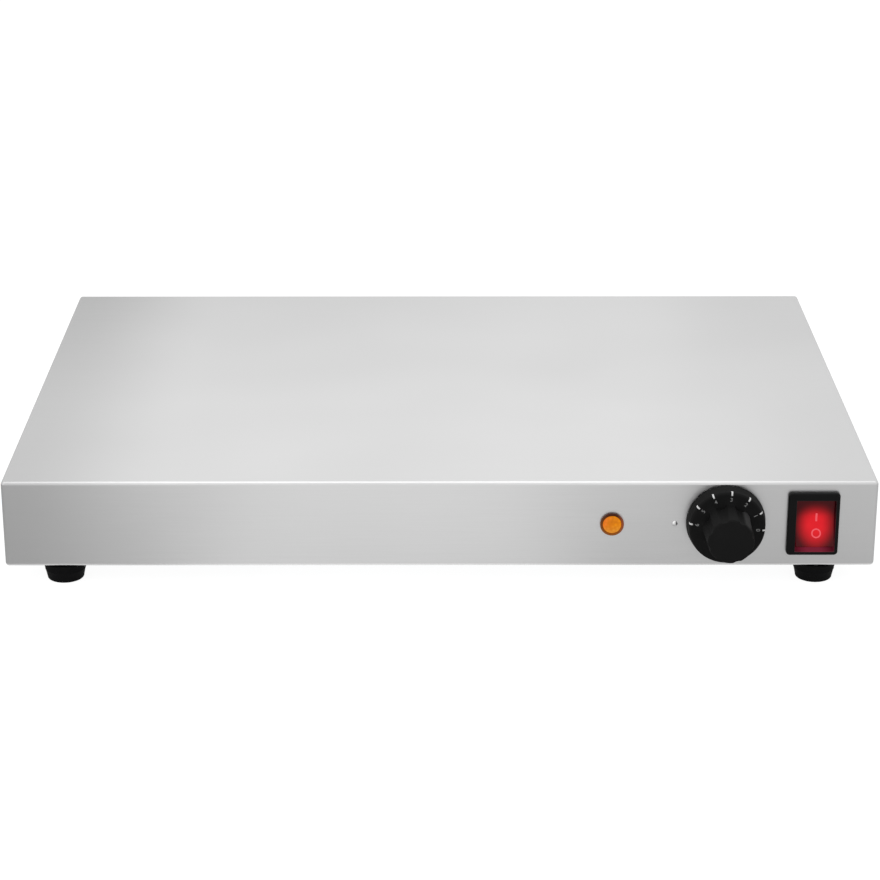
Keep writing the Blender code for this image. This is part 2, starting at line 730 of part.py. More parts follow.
def make_insulation():
    """A fibre pad in a folded tray that stands on four legs on the base."""
    width = 2 * TRAY_HALF_WIDTH
    depth = TRAY_BACK - TRAY_FRONT
    centre_y = (TRAY_FRONT + TRAY_BACK) / 2
    place = (0, centre_y, TRAY_BOTTOM + TRAY_WALL / 2)
    tray = block("insulation_tray", (width, depth, TRAY_WALL), place, ZINC)
    bm = bmesh.new()
    bm.from_mesh(tray.data)
    top = max(bm.faces, key=lambda face: face.calc_center_median().z)
    bmesh.ops.delete(bm, geom=[top], context="FACES")
    bm.to_mesh(tray.data)
    bm.free()
    thicken(tray, TRAY_SHEET, -1)
    foot = BASE_TOP + GAP + LEG_SHEET / 2
    line = [(0, TRAY_BOTTOM + 2 * TRAY_SHEET), (0, foot), (LEG_FOOT, foot)]
    for side in (-1, 1):
        for name, y, turn in (("front", TRAY_FRONT, math.pi / 2), ("back", TRAY_BACK, -math.pi / 2)):
            inward = TRAY_SHEET / 2 * (1 if name == "front" else -1)
            place = (side * LEG_X, y + inward, 0)
            leg = f"leg_{name}_{'right' if side > 0 else 'left'}"
            join(tray, ribbon(leg, line, LEG_WIDTH, LEG_SHEET, place, ZINC, (0, 0, turn)))
    clear = 2 * (TRAY_SHEET + GAP)
    size = (width - clear, depth - clear, PAD_HEIGHT)
    place = (0, centre_y, PAD_TOP - PAD_HEIGHT / 2)
    block("insulation_pad", size, place, FIBRE, rounding=PAD_ROUNDING)


def make_thermostat():
    """The thermostat behind the dial: body, mounting plate and its two screws."""
    plate_y = FRONT + SHEET + GAP + STAT_PLATE_SHEET / 2
    mount = plate(
        "thermostat_plate", STAT_PLATE_WIDTH, STAT_PLATE_HEIGHT, STAT_PLATE_SHEET, STAT_PLATE_CORNER,
        (KNOB_X, plate_y, KNOB_Z), ZINC, TO_FRONT,
    )
    size = (STAT_WIDTH, STAT_DEPTH, STAT_HEIGHT)
    centre = (KNOB_X, STAT_FRONT + STAT_DEPTH / 2, KNOB_Z)
    body = block("thermostat_body", size, centre, PHENOLIC, rounding=STAT_ROUNDING)
    seat = (KNOB_X, FRONT + SHEET, KNOB_Z)
    cut_round(mount, "plate_bore", SPINDLE_RADIUS + GAP, seat, STAT_FRONT - FRONT, TO_BACK)
    seat = (KNOB_X, STAT_FRONT, KNOB_Z)
    cut_round(body, "body_bore", SPINDLE_RADIUS + GAP, seat, SPINDLE_INSIDE + GAP, TO_BACK)
    for name, side in (("left", -1), ("right", 1)):
        x = KNOB_X + side * STAT_SCREW_X
        screw("thermostat_screw_" + name, STAT_SCREW_LENGTH, (x, FRONT - GAP, KNOB_Z), TO_FRONT)
        hole = SHANK_RADIUS + GAP
        cut_round(mount, "plate_hole_" + name, hole, (x, FRONT + SHEET, KNOB_Z), STAT_FRONT - FRONT, TO_BACK)
        cut_round(body, "pocket_" + name, hole, (x, STAT_FRONT, KNOB_Z), STAT_POCKET, TO_BACK)
        tab_y = STAT_BACK + (STAT_TAB_LENGTH - OVERRUN) / 2
        tab_size = (TAB_SHEET, STAT_TAB_LENGTH + OVERRUN, TAB_WIDTH)
        place = (KNOB_X + side * STAT_TAB_X, tab_y, KNOB_Z - STAT_TAB_DROP)
        join(body, block("stat_tab_" + name, tab_size, place, BRASS))
    start = (KNOB_X, STAT_BACK - OVERRUN, KNOB_Z + CAPSULE_RISE)
    length = CAPSULE_DEPTH + OVERRUN
    join(body, rod("capsule", CAPSULE_RADIUS, length, start, COPPER, TO_BACK))


def make_sensor():
    """The capillary, its bulb under the spreader, and the strap that holds the bulb."""
    row = FRONT + BULB_ROW
    level = SPREADER_BOTTOM - GAP - BULB_RADIUS
    tip = BULB_RADIUS / 2
    outline = [
        (0, BULB_LENGTH),
        (BULB_RADIUS - tip, BULB_LENGTH),
        (BULB_RADIUS, BULB_LENGTH - tip),
        (BULB_RADIUS, tip),
        (BULB_RADIUS - tip, 0),
        (0, 0),
    ]
    start_x = BULB_END_X - BULB_LENGTH
    turned("sensor_bulb", outline, (start_x, row, level), COPPER, TO_RIGHT, steps=12)
    reach = BULB_RADIUS + 3 / 2 * GAP + CLIP_SHEET / 2
    ear = SPREADER_BOTTOM - GAP - CLIP_SHEET / 2 - level
    arc = [math.pi * share for share in CLIP_ARC_SHARES]
    line = [(-reach - CLIP_EAR, ear), (-reach, ear)]
    line += [(-reach * math.cos(angle), -reach * math.sin(angle)) for angle in arc]
    line += [(reach, ear), (reach + CLIP_EAR, ear)]
    place = (BULB_END_X - BULB_LENGTH / 2, row, level)
    ribbon("bulb_clip", line, CLIP_LENGTH, CLIP_SHEET, place, ZINC, (0, 0, math.pi / 2))
    capsule = (KNOB_X, STAT_BACK + CAPSULE_DEPTH + GAP, KNOB_Z + CAPSULE_RISE)
    bulb_end = (BULB_END_X + GAP, row, level)
    over = level - CAPILLARY_RADIUS
    via = [
        (mix(LAMP_X, KNOB_X, 0.65), STAT_BACK + 3 * WIRE_LEAD, mix(capsule[2], over, 0.5)),
        (LAMP_X, STAT_BACK + 2 * WIRE_LEAD, over),
        (mix(BULB_END_X, CUTOUT_X, 0.6), row - CUTOUT_RADIUS - WIRE_LEAD, over),
    ]
    wire("capillary_tube", capsule, TOWARDS_BACK, via, bulb_end, RIGHTWARDS, COPPER, CAPILLARY_RADIUS)


def make_knob():
    """The dial knob and the spindle that it turns, both about the dial's axis."""
    axis = bpy.data.objects.new("knob_axis", None)
    axis.location = (KNOB_X, FRONT, KNOB_Z)
    axis.rotation_euler = (math.pi / 2, -KNOB_REST_TILT, 0)
    PARTS.objects.link(axis)
    face = KNOB_STANDOFF + KNOB_SKIRT_DEPTH
    roof = KNOB_STANDOFF + KNOB_CAVITY_DEPTH
    bore = SPINDLE_RADIUS + GAP
    outline = [
        (0, face + HUB_HEIGHT),
        (HUB_FRONT_RADIUS - HUB_ROUNDING, face + HUB_HEIGHT),
        (HUB_FRONT_RADIUS, face + HUB_HEIGHT - HUB_ROUNDING),
        (HUB_BASE_RADIUS, face),
        (KNOB_FACE_RADIUS, face),
        (KNOB_EDGE_RADIUS, face - KNOB_EDGE_DROP),
        (KNOB_BACK_RADIUS, KNOB_STANDOFF),
        (KNOB_BACK_RADIUS - KNOB_WALL, KNOB_STANDOFF),
        (KNOB_EDGE_RADIUS - KNOB_WALL, roof),
        (KNOB_BOSS_RADIUS, roof),
        (KNOB_BOSS_RADIUS, KNOB_STANDOFF + KNOB_BOSS_RECESS),
        (bore, KNOB_STANDOFF + KNOB_BOSS_RECESS),
        (bore, SPINDLE_OUTSIDE + GAP),
        (0, SPINDLE_OUTSIDE + GAP),
    ]
    knob = turned("knob", outline, (0, 0, 0), BLACK, steps=KNOB_STEPS)
    knob.parent = axis
    for flute in range(HUB_FLUTES):
        angle = math.pi / 2 + 2 * math.pi * (flute + 1 / 2) / HUB_FLUTES
        reach = HUB_BASE_RADIUS + FLUTE_RADIUS - FLUTE_DEPTH
        place = (reach * math.cos(angle), reach * math.sin(angle), face + GAP)
        groove = rod(f"flute_{flute + 1}", FLUTE_RADIUS, HUB_HEIGHT, place, BLACK, sides=FLUTE_SIDES)
        groove.parent = axis
        cut(knob, groove)
    inner_end = STAT_FRONT - FRONT + SPINDLE_INSIDE
    length = inner_end + SPINDLE_OUTSIDE
    spindle = rod("thermostat_spindle", SPINDLE_RADIUS, length, (0, 0, -inner_end), ZINC)
    spindle.parent = axis
    flat_size = (2 * SPINDLE_RADIUS, 2 * SPINDLE_FLAT_DEPTH, 2 * SPINDLE_FLAT_LENGTH)
    flat = block("spindle_flat", flat_size, (0, SPINDLE_RADIUS, SPINDLE_OUTSIDE), ZINC)
    flat.parent = axis
    cut(spindle, flat)


def make_index_pip():
    """A small domed pip set in the panel beside the dial."""
    tail = -SHEET - PIP_TAIL
    outline = [
        (0, PIP_PROUD),
        (PIP_RADIUS / 2, PIP_PROUD),
        (PIP_RADIUS, PIP_PROUD / 2 + GAP),
        (PIP_RADIUS, GAP),
        (PIP_SHANK_RADIUS, GAP),
        (PIP_SHANK_RADIUS, tail),
        (0, tail),
    ]
    turned("index_pip", outline, (PIP_X, FRONT, PIP_Z), STAINLESS, TO_FRONT, steps=12)


def make_lamp():
    """The indicator: a bezel and body in one, a domed lens, and a nut behind the panel."""
    place = (LAMP_X, FRONT, LAMP_Z)
    outline = [
        (0, -LENS_SEAT),
        (LENS_RADIUS + GAP, -LENS_SEAT),
        (LENS_RADIUS + GAP, BEZEL_PROUD),
        (BEZEL_RADIUS - BEZEL_EDGE, BEZEL_PROUD),
        (BEZEL_RADIUS, BEZEL_PROUD - BEZEL_EDGE),
        (BEZEL_RADIUS, GAP),
        (LAMP_BODY_RADIUS, GAP),
        (LAMP_BODY_RADIUS, -LAMP_BODY_LENGTH),
        (0, -LAMP_BODY_LENGTH),
    ]
    turned("lamp_body", outline, place, BROWN, TO_FRONT)
    shoulder = BEZEL_PROUD - BEZEL_EDGE
    dome = [
        (LENS_RADIUS * math.sin(angle), shoulder + LENS_DOME * math.cos(angle))
        for angle in (math.pi / 2 * share for share in LENS_DOME_SHARES)
    ]
    foot = GAP - LENS_SEAT
    lens = [(0, shoulder + LENS_DOME), *dome, (LENS_RADIUS, foot), (0, foot)]
    turned("lamp_lens", lens, place, AMBER, TO_FRONT)
    start = (LAMP_X, FRONT + SHEET + GAP, LAMP_Z)
    nut = rod("lamp_nut", LAMP_NUT_RADIUS, LAMP_NUT_HEIGHT, start, BLACK, TO_BACK, sides=6)
    bore = LAMP_BODY_RADIUS + GAP
    cut_round(nut, "lamp_nut_bore", bore, start, LAMP_NUT_HEIGHT + OVERRUN, TO_BACK, sides=24)


def housing_width():
    return OPENING_WIDTH + 2 * HOUSING_WALL


def housing_height():
    return OPENING_HEIGHT + 2 * HOUSING_WALL


def make_switch_housing():
    """The switch case with its frame, rocker well, pivot holes, snap lugs and terminal slots."""
    frame_y = FRONT - GAP - FRAME_PROUD / 2
    housing = plate(
        "switch_housing", FRAME_WIDTH, FRAME_HEIGHT, FRAME_PROUD, FRAME_CORNER,
        (SWITCH_X, frame_y, SWITCH_Z), BLACK, TO_FRONT,
    )
    round_edges(housing, FRAME_ROUNDING)
    depth = SWITCH_BACK - frame_y
    size = (housing_width(), depth, housing_height())
    join(housing, block("switch_case", size, (ROCKER_X, frame_y + depth / 2, ROCKER_Z), BLACK))
    lug_y = FRONT + SHEET + GAP + LUG_LENGTH / 2
    for name, side in (("top", 1), ("bottom", -1)):
        place = (ROCKER_X, lug_y, ROCKER_Z + side * housing_height() / 2)
        join(housing, block("switch_lug_" + name, (LUG_WIDTH, LUG_LENGTH, 2 * LUG_PROUD), place, BLACK))
    well_front = FRONT - FRAME_PROUD - OVERRUN
    well = CAVITY_DEPTH + FRONT - well_front
    size = (OPENING_WIDTH, well, OPENING_HEIGHT)
    cut_box(housing, "rocker_well", size, (ROCKER_X, well_front + well / 2, ROCKER_Z))
    length = OPENING_WIDTH + 2 * (PIVOT_ENGAGEMENT + GAP)
    start = (ROCKER_X - length / 2, PIVOT_Y, ROCKER_Z)
    cut(housing, rod("pivot_holes", PIVOT_RADIUS + GAP, length, start, BLACK, TO_RIGHT))
    size = (TAB_SHEET + 2 * GAP, 2 * (SWITCH_TAB_ROOT + GAP), TAB_WIDTH + 2 * GAP)
    for name, (x, z) in SWITCH_TABS.items():
        cut_box(housing, "slot_" + name, size, (x, SWITCH_BACK, z))


def make_switch_terminals():
    length = SWITCH_TAB_ROOT + SWITCH_TAB_TAIL
    size = (TAB_SHEET, length, TAB_WIDTH)
    for name, (x, z) in SWITCH_TABS.items():
        place = (x, SWITCH_BACK - SWITCH_TAB_ROOT + length / 2, z)
        block("switch_terminal_" + name, size, place, BRASS)


def rocker_outline():
    """The rocker from the side: a shallow V in front, round ends about the pivot, a heel behind."""
    top_y = -ROCKER_RADIUS * math.sin(ROCKER_SWEEP)
    top_z = ROCKER_RADIUS * math.cos(ROCKER_SWEEP)
    points = [(top_y + top_z * math.tan(ROCKER_TILT), 0)]
    end = []
    for step in range(ROCKER_END_STEPS + 1):
        angle = ROCKER_SWEEP - (ROCKER_SWEEP + ROCKER_BACK_SWEEP) * step / ROCKER_END_STEPS
        end.append((-ROCKER_RADIUS * math.sin(angle), ROCKER_RADIUS * math.cos(angle)))
    end.append((ROCKER_HEEL_DEPTH, ROCKER_HEEL_HALF))
    points += end
    points += [(y, -z) for y, z in reversed(end)]
    return points


def make_rocker():
    """The lit rocker with its pivot stubs, at rest with its upper half pressed in."""
    pivot = bpy.data.objects.new("rocker_pivot", None)
    pivot.location = (ROCKER_X, PIVOT_Y, ROCKER_Z)
    pivot.rotation_euler = (-ROCKER_TILT, 0, 0)
    PARTS.objects.link(pivot)
    width = OPENING_WIDTH - 2 * ROCKER_CLEARANCE
    rocker = extruded("switch_rocker", rocker_outline(), width, (0, 0, 0), RED, TO_RIGHT)
    rocker.parent = pivot
    length = OPENING_WIDTH + 2 * PIVOT_ENGAGEMENT
    stubs = rod("pivot_stubs", PIVOT_RADIUS, length, (-length / 2, 0, 0), RED, TO_RIGHT, sides=12)
    stubs.parent = pivot
    join(rocker, stubs)


def make_inlet():
    """The appliance inlet in the back skirt: a flanged socket and its three blades."""
    flange_y = BACK + GAP + INLET_FLANGE / 2
    inlet = plate(
        "inlet_body", INLET_FLANGE_WIDTH, INLET_FLANGE_HEIGHT, INLET_FLANGE, INLET_CORNER,
        (INLET_X, flange_y, INLET_Z), BLACK, TO_FRONT,
    )
    depth = flange_y - INLET_BACK
    size = (INLET_WIDTH, depth, INLET_HEIGHT)
    join(inlet, block("inlet_case", size, (INLET_X, flange_y - depth / 2, INLET_Z), BLACK))
    lug_y = BACK - SHEET - GAP - LUG_LENGTH / 2
    for name, side in (("top", 1), ("bottom", -1)):
        place = (INLET_X, lug_y, INLET_Z + side * INLET_HEIGHT / 2)
        join(inlet, block("inlet_lug_" + name, (LUG_WIDTH, LUG_LENGTH, 2 * LUG_PROUD), place, BLACK))
    half_width = SOCKET_WIDTH / 2
    half_height = SOCKET_HEIGHT / 2
    shoulder = half_height - SOCKET_CHAMFER
    waist = half_width - SOCKET_CHAMFER
    outline = [
        (half_width, -half_height), (half_width, shoulder), (waist, half_height),
        (-waist, half_height), (-half_width, shoulder), (-half_width, -half_height),
    ]
    well = SOCKET_DEPTH + OVERRUN
    place = (INLET_X, INLET_FACE + OVERRUN - well / 2, INLET_Z)
    cut(inlet, extruded("socket", outline, well, place, BLACK, TO_FRONT))
    length = INLET_FACE - BLADE_SINK - INLET_BACK + BLADE_TAIL
    for name, (x, z) in INLET_BLADES.items():
        place = (x, INLET_BACK - BLADE_TAIL + length / 2, z)
        block("inlet_pin_" + name, (BLADE_SHEET, length, BLADE_WIDTH), place, BRASS)
        slot = (BLADE_SHEET + 2 * GAP, SOCKET_DEPTH, BLADE_WIDTH + 2 * GAP)
        cut_box(inlet, "blade_slot_" + name, slot, (x, INLET_BACK, z))


def make_cutout():
    """The thermal cut-out held flat to the spreader by its ears."""
    top = SPREADER_BOTTOM - GAP
    row = FRONT + BULB_ROW
    body = rod("safety_cutout", CUTOUT_RADIUS, CUTOUT_HEIGHT, (CUTOUT_X, row, top), CERAMIC, DOWN)
    size = (2 * CUTOUT_EAR_REACH, CUTOUT_EAR_WIDTH, CUTOUT_EAR_SHEET)
    join(body, block("cutout_ears", size, (CUTOUT_X, row, top - CUTOUT_EAR_SHEET / 2), ZINC))
    length = CUTOUT_TAB_LENGTH + CUTOUT_RADIUS / 2
    for name, side in (("front", -1), ("back", 1)):
        place = (CUTOUT_TAB_END - length / 2, row + side * CUTOUT_TAB_Y, CUTOUT_TAB_Z)
        join(body, block("cutout_tab_" + name, (length, CUTOUT_TAB_WIDTH, TAB_SHEET), place, BRASS))


def make_earth_stud():
    screw("earth_stud", EARTH_LENGTH, (EARTH_X, BACK - EARTH_INSET, BASE_BOTTOM - GAP), DOWN)


def mix(start, end, share):
    return start + (end - start) * share


def smooth_route(points):
    """Points along a smooth curve through the given ones, straight in its first and last stretch."""
    route = [points[0]]
    for index in range(1, len(points) - 2):
        before, start, end, after = (Vector(points[index + step]) for step in (-1, 0, 1, 2))
        for step in range(WIRE_STEPS):
            share = step / WIRE_STEPS
            bend = 2 * before - 5 * start + 4 * end - after
            twist = 3 * start - before - 3 * end + after
            point = start + (end - before) * share / 2 + bend * share**2 / 2 + twist * share**3 / 2
            route.append(tuple(point))
    return route + [points[-2], points[-1]]


def wire(name, start, start_way, via, end, end_way, material, radius=WIRE_RADIUS):
    """A lead between two terminals, straight where it leaves each."""
    first = Vector(start) + Vector(start_way) * WIRE_LEAD
    last = Vector(end) + Vector(end_way) * WIRE_LEAD
    tube(name, smooth_route([start, tuple(first), *via, tuple(last), end]), radius, material)


def make_wires():
    """The nine leads, each from terminal to terminal along the lanes behind the controls."""
    outer = RIGHT_WALL - OUTER_LANE
    inner = RIGHT_WALL - INNER_LANE
    low = BASE_TOP + LOW_LEVEL
    middle = BASE_TOP + MID_LEVEL
    high = BASE_TOP + HIGH_LEVEL
    blades = {name: (x, INLET_BACK - BLADE_TAIL - GAP, z) for name, (x, z) in INLET_BLADES.items()}
    tabs = {name: (x, SWITCH_BACK + SWITCH_TAB_TAIL + GAP, z) for name, (x, z) in SWITCH_TABS.items()}
    switch_row = SWITCH_BACK + SWITCH_TAB_TAIL + WIRE_LEAD
    stat_end = STAT_BACK + STAT_TAB_LENGTH + GAP
    stat_z = KNOB_Z - STAT_TAB_DROP
    stat_in = (KNOB_X + STAT_TAB_X, stat_end, stat_z)
    stat_out = (KNOB_X - STAT_TAB_X, stat_end, stat_z)
    element_x = ELEMENT_END_X + 2 * GAP + BEAD_LENGTH + PIN_LENGTH
    element_front = (element_x, FIRST_ROW, ELEMENT_Z)
    element_back = (element_x, LAST_ROW, ELEMENT_Z)
    cutout_x = CUTOUT_TAB_END + GAP
    cutout_in = (cutout_x, FRONT + BULB_ROW - CUTOUT_TAB_Y, CUTOUT_TAB_Z)
    cutout_out = (cutout_x, FRONT + BULB_ROW + CUTOUT_TAB_Y, CUTOUT_TAB_Z)
    side_reach = TAB_SHEET / 2 + GAP
    lamp_back = FRONT + LAMP_BODY_LENGTH + GAP
    lamp_half = LAMP_BODY_RADIUS / 2
    sweep = 5 * WIRE_LEAD

    for name, blade, tab, lane, inset, colour in (
        ("line", "line", "line_in", outer, LINE_RUN, WIRE_BROWN),
        ("neutral", "neutral", "neutral_in", inner, NEUTRAL_RUN, WIRE_BLUE),
    ):
        run = BACK - inset
        via = [
            (mix(INLET_X, lane, 0.45), run, low),
            (lane, run - sweep, low),
            (lane, switch_row + sweep, low),
        ]
        wire("wire_inlet_" + name, blades[blade], TOWARDS_FRONT, via, tabs[tab], TOWARDS_BACK, colour)

    stud_top = (EARTH_X, BACK - EARTH_INSET, BASE_BOTTOM + EARTH_LENGTH)
    via = [(mix(EARTH_X, INLET_X, 0.5), BACK - EARTH_INSET, mix(middle, high, 0.5))]
    wire("wire_earth", blades["earth"], TOWARDS_FRONT, via, stud_top, UPWARDS, WIRE_GREEN)

    via = [(mix(stat_in[0], tabs["line_out"][0], 0.5), switch_row + WIRE_LEAD / 2, low)]
    wire("wire_line_thermostat", tabs["line_out"], TOWARDS_BACK, via, stat_in, TOWARDS_BACK, WIRE_BROWN)

    via = [(mix(cutout_x, stat_out[0], 0.5), cutout_in[1], mix(stat_z, CUTOUT_TAB_Z, 0.5))]
    wire("wire_thermostat_cutout", stat_out, TOWARDS_BACK, via, cutout_in, RIGHTWARDS, WIRE_BROWN)

    over_row = TRAY_FRONT - WIRE_LEAD
    via = [
        (KNOB_X, over_row, ELEMENT_Z),
        (inner - sweep, over_row, ELEMENT_Z),
        (inner, FIRST_ROW, ELEMENT_Z),
        (inner, LAST_ROW - sweep, ELEMENT_Z),
    ]
    wire("wire_cutout_element", cutout_out, RIGHTWARDS, via, element_back, RIGHTWARDS, WIRE_BROWN)

    neutral_x = tabs["neutral_out"][0]
    via = [
        (neutral_x - WIRE_LEAD, switch_row + 2 * WIRE_LEAD, middle),
        (neutral_x, FIRST_ROW - 3 * WIRE_LEAD, high),
        (element_x + WIRE_LEAD, FIRST_ROW - WIRE_LEAD, mix(high, ELEMENT_Z, 0.6)),
    ]
    start = tabs["neutral_out"]
    wire("wire_neutral_element", start, TOWARDS_BACK, via, element_front, RIGHTWARDS, WIRE_BLUE)

    start = (LAMP_X + lamp_half, lamp_back, LAMP_Z)
    end = (stat_out[0] - side_reach, STAT_BACK + STAT_TAB_LENGTH / 2, stat_z)
    via = [(mix(start[0], end[0], 0.5), lamp_back + 2 * WIRE_LEAD, mix(LAMP_Z, stat_z, 0.5))]
    wire("wire_lamp_line", start, TOWARDS_BACK, via, end, LEFTWARDS, WIRE_BROWN)

    start = (LAMP_X - lamp_half, lamp_back, LAMP_Z)
    tab_x, tab_z = SWITCH_TABS["neutral_out"]
    end = (tab_x - side_reach, SWITCH_BACK + SWITCH_TAB_TAIL / 2, tab_z)
    run = STAT_BACK + STAT_TAB_LENGTH + 2 * WIRE_LEAD
    via = [(mix(LAMP_X, KNOB_X, 0.2), run, low), (KNOB_X, run, low - WIRE_LEAD)]
    wire("wire_lamp_neutral", start, TOWARDS_BACK, via, end, LEFTWARDS, WIRE_BLUE)


def main():
    make_top_shell()
    make_base_plate()
    make_feet()
    make_base_screws()
    make_heat_spreader()
    make_element()
    make_clamps()
    make_insulation()
    make_thermostat()
    make_sensor()
    make_knob()
    make_index_pip()
    make_lamp()
    make_switch_housing()
    make_switch_terminals()
    make_rocker()
    make_inlet()
    make_cutout()
    make_earth_stud()
    make_wires()


main()
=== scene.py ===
"""Looks of an electric food warmer tray: a folded stainless cover over a clamped heating element.

Metres, +Z up, and the front faces -Y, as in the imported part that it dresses.
"""

import json
import math

import bmesh
import bpy
from mathutils import Matrix, Vector


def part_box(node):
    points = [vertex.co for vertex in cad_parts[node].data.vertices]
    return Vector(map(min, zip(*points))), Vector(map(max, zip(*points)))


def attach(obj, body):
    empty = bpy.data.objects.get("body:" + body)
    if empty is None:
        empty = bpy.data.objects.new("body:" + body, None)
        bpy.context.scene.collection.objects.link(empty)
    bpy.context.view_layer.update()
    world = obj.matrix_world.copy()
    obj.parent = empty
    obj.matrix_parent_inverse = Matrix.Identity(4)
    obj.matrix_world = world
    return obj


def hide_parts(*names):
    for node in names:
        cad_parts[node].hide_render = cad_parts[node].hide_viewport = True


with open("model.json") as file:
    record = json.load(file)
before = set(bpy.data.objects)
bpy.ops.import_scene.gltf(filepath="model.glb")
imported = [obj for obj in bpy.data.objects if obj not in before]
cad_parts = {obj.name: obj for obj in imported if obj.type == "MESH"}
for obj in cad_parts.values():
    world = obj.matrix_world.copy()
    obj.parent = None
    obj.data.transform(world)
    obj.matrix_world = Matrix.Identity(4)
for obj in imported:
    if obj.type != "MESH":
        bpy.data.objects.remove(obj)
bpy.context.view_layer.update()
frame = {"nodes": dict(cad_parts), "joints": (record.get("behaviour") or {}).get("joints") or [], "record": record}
nodes = frame["nodes"]


# The studio: a pale seamless floor, a pale room and soft boxes, with the camera in front and above.
# The room and the floor show white to the camera and in the metal, and light the rest plainly.

def colour(code, alpha=1.0):
    """A colour written as sRGB hex, turned to the linear values that the shaders take."""
    channels = [int(code[start:start + 2], 16) / 255 for start in (1, 3, 5)]
    linear = [c / 12.92 if c <= 0.04045 else ((c + 0.055) / 1.055) ** 2.4 for c in channels]
    return (*linear, alpha)


def add_node(tree, kind, inputs=None, **settings):
    """One node, with its settings, and its inputs given as values or as sockets to link from."""
    node = tree.nodes.new(kind)
    for key, value in settings.items():
        setattr(node, key, value)
    for key, value in (inputs or {}).items():
        if isinstance(value, bpy.types.NodeSocket):
            tree.links.new(value, node.inputs[key])
        else:
            node.inputs[key].default_value = value
    return node


def new_material(name):
    """An empty node material, its tree, and the object's own coordinates in it."""
    material = bpy.data.materials.new(name)
    material.use_nodes = True
    tree = material.node_tree
    tree.nodes.clear()
    return material, tree, add_node(tree, "ShaderNodeTexCoord").outputs["Object"]


def speckled(name, speck_mm, detail, dark, light, roughness, metallic=0.0):
    """A plain material in specks or patches of two tones. Of two roughnesses, each tone has its own."""
    material, tree, place = new_material(name)
    specks = add_node(tree, "ShaderNodeTexNoise", {
        "Vector": place, "Scale": 1000 / speck_mm, "Detail": detail}).outputs[0]
    shade = add_node(tree, "ShaderNodeMix", {
        0: specks, 6: colour(dark), 7: colour(light)}, data_type="RGBA").outputs[2]
    if isinstance(roughness, tuple):
        roughness = add_node(tree, "ShaderNodeMapRange", {
            0: specks, 3: roughness[0], 4: roughness[1]}).outputs[0]
    shader = add_node(tree, "ShaderNodeBsdfPrincipled", {
        "Base Color": shade, "Metallic": metallic, "Roughness": roughness})
    add_node(tree, "ShaderNodeOutputMaterial", {"Surface": shader.outputs[0]})
    return material


scene = bpy.context.scene
scene.view_settings.view_transform = "Standard"

# The lens is given in pixels of the square frame, as it was fitted to the photograph.
FRAME_PX, LENS_PX, SENSOR_MM = 880, 2535, 36
CAMERA_DOWN, CAMERA_TURN = math.radians(69.137), -0.0022
camera_data = bpy.data.cameras.new("camera")
camera_data.sensor_width = SENSOR_MM
camera_data.lens = LENS_PX / FRAME_PX * SENSOR_MM
camera = bpy.data.objects.new("camera", camera_data)
camera.location = (-0.0028, -1.49915, 0.6000)
camera.rotation_euler = (CAMERA_DOWN, 0, CAMERA_TURN)
scene.collection.objects.link(camera)
scene.camera = camera

ROOM_LIGHT = 0.72
room = bpy.data.worlds.new("pale_room")
room.use_nodes = True
scene.world = room
tree = room.node_tree
tree.nodes.clear()
rays = add_node(tree, "ShaderNodeLightPath").outputs
seen = add_node(tree, "ShaderNodeMath", {
    0: rays["Is Camera Ray"], 1: rays["Is Glossy Ray"]}, operation="MAXIMUM")
seen = add_node(tree, "ShaderNodeMath", {
    0: seen.outputs[0], 1: rays["Is Transmission Ray"]}, operation="MAXIMUM")
lit = add_node(tree, "ShaderNodeBackground", {"Color": colour("#FFFFFF"), "Strength": ROOM_LIGHT})
shown = add_node(tree, "ShaderNodeBackground", {"Color": colour("#FFFFFF"), "Strength": 1.0})
mixed = add_node(tree, "ShaderNodeMixShader", {0: seen.outputs[0], 1: lit.outputs[0], 2: shown.outputs[0]})
add_node(tree, "ShaderNodeOutputWorld", {"Surface": mixed.outputs[0]})

# Painted paper floor: it gives light back plainly, and the camera sees it white with a faint shadow.
# Metal sees it white in front of the middle, with painted darker bands at both sides that stand in for
# dark flags, and a little dimmer close to the tray, in a painted shadow.
FLOOR_GLOW = 0.93
PAINTED_FLAG_TONES = (
    (-0.30, 0.66), (-0.185, 0.74), (-0.105, 0.95), (-0.03, 0.97),
    (0.03, 0.92), (0.12, 0.69), (0.19, 0.655), (0.28, 0.76),
)
SHADE_NEAR, SHADE_FAR = (-0.16, 0.88), (-0.34, 1.06)
FLAG_SPAN = 0.6
FLOOR_HALF = 8
paper, tree, place = new_material("white_paper_floor")
rays = add_node(tree, "ShaderNodeLightPath").outputs
across = add_node(tree, "ShaderNodeSeparateXYZ", {0: place}).outputs["X"]
across = add_node(tree, "ShaderNodeMapRange", {0: across, 1: -FLAG_SPAN / 2, 2: FLAG_SPAN / 2}).outputs[0]
# Painted shade in what the metal mirrors: darker bands at both sides, standing in for dark flags.
painted_flag_shade = add_node(tree, "ShaderNodeValToRGB", {0: across})
painted_flag_shade.color_ramp.interpolation = "EASE"
for number, (where, level) in enumerate(PAINTED_FLAG_TONES):
    stops = painted_flag_shade.color_ramp.elements
    stop = stops[number] if number < 2 else stops.new(1)
    stop.position = where / FLAG_SPAN + 0.5
    stop.color = (level, level, level, 1)
seen = add_node(tree, "ShaderNodeMath", {
    0: rays["Is Camera Ray"], 1: rays["Is Transmission Ray"]}, operation="MAXIMUM")
plain = add_node(tree, "ShaderNodeBsdfDiffuse", {"Color": colour("#E6E6E6")})
faint = add_node(tree, "ShaderNodeBsdfDiffuse", {"Color": colour("#808080")})
glow = add_node(tree, "ShaderNodeEmission", {"Color": colour("#FFFFFF"), "Strength": FLOOR_GLOW})
shown = add_node(tree, "ShaderNodeAddShader", {0: faint.outputs[0], 1: glow.outputs[0]})
# Painted shadow in what the metal mirrors: a little dimmer close to the tray.
ahead = add_node(tree, "ShaderNodeSeparateXYZ", {0: place}).outputs["Y"]
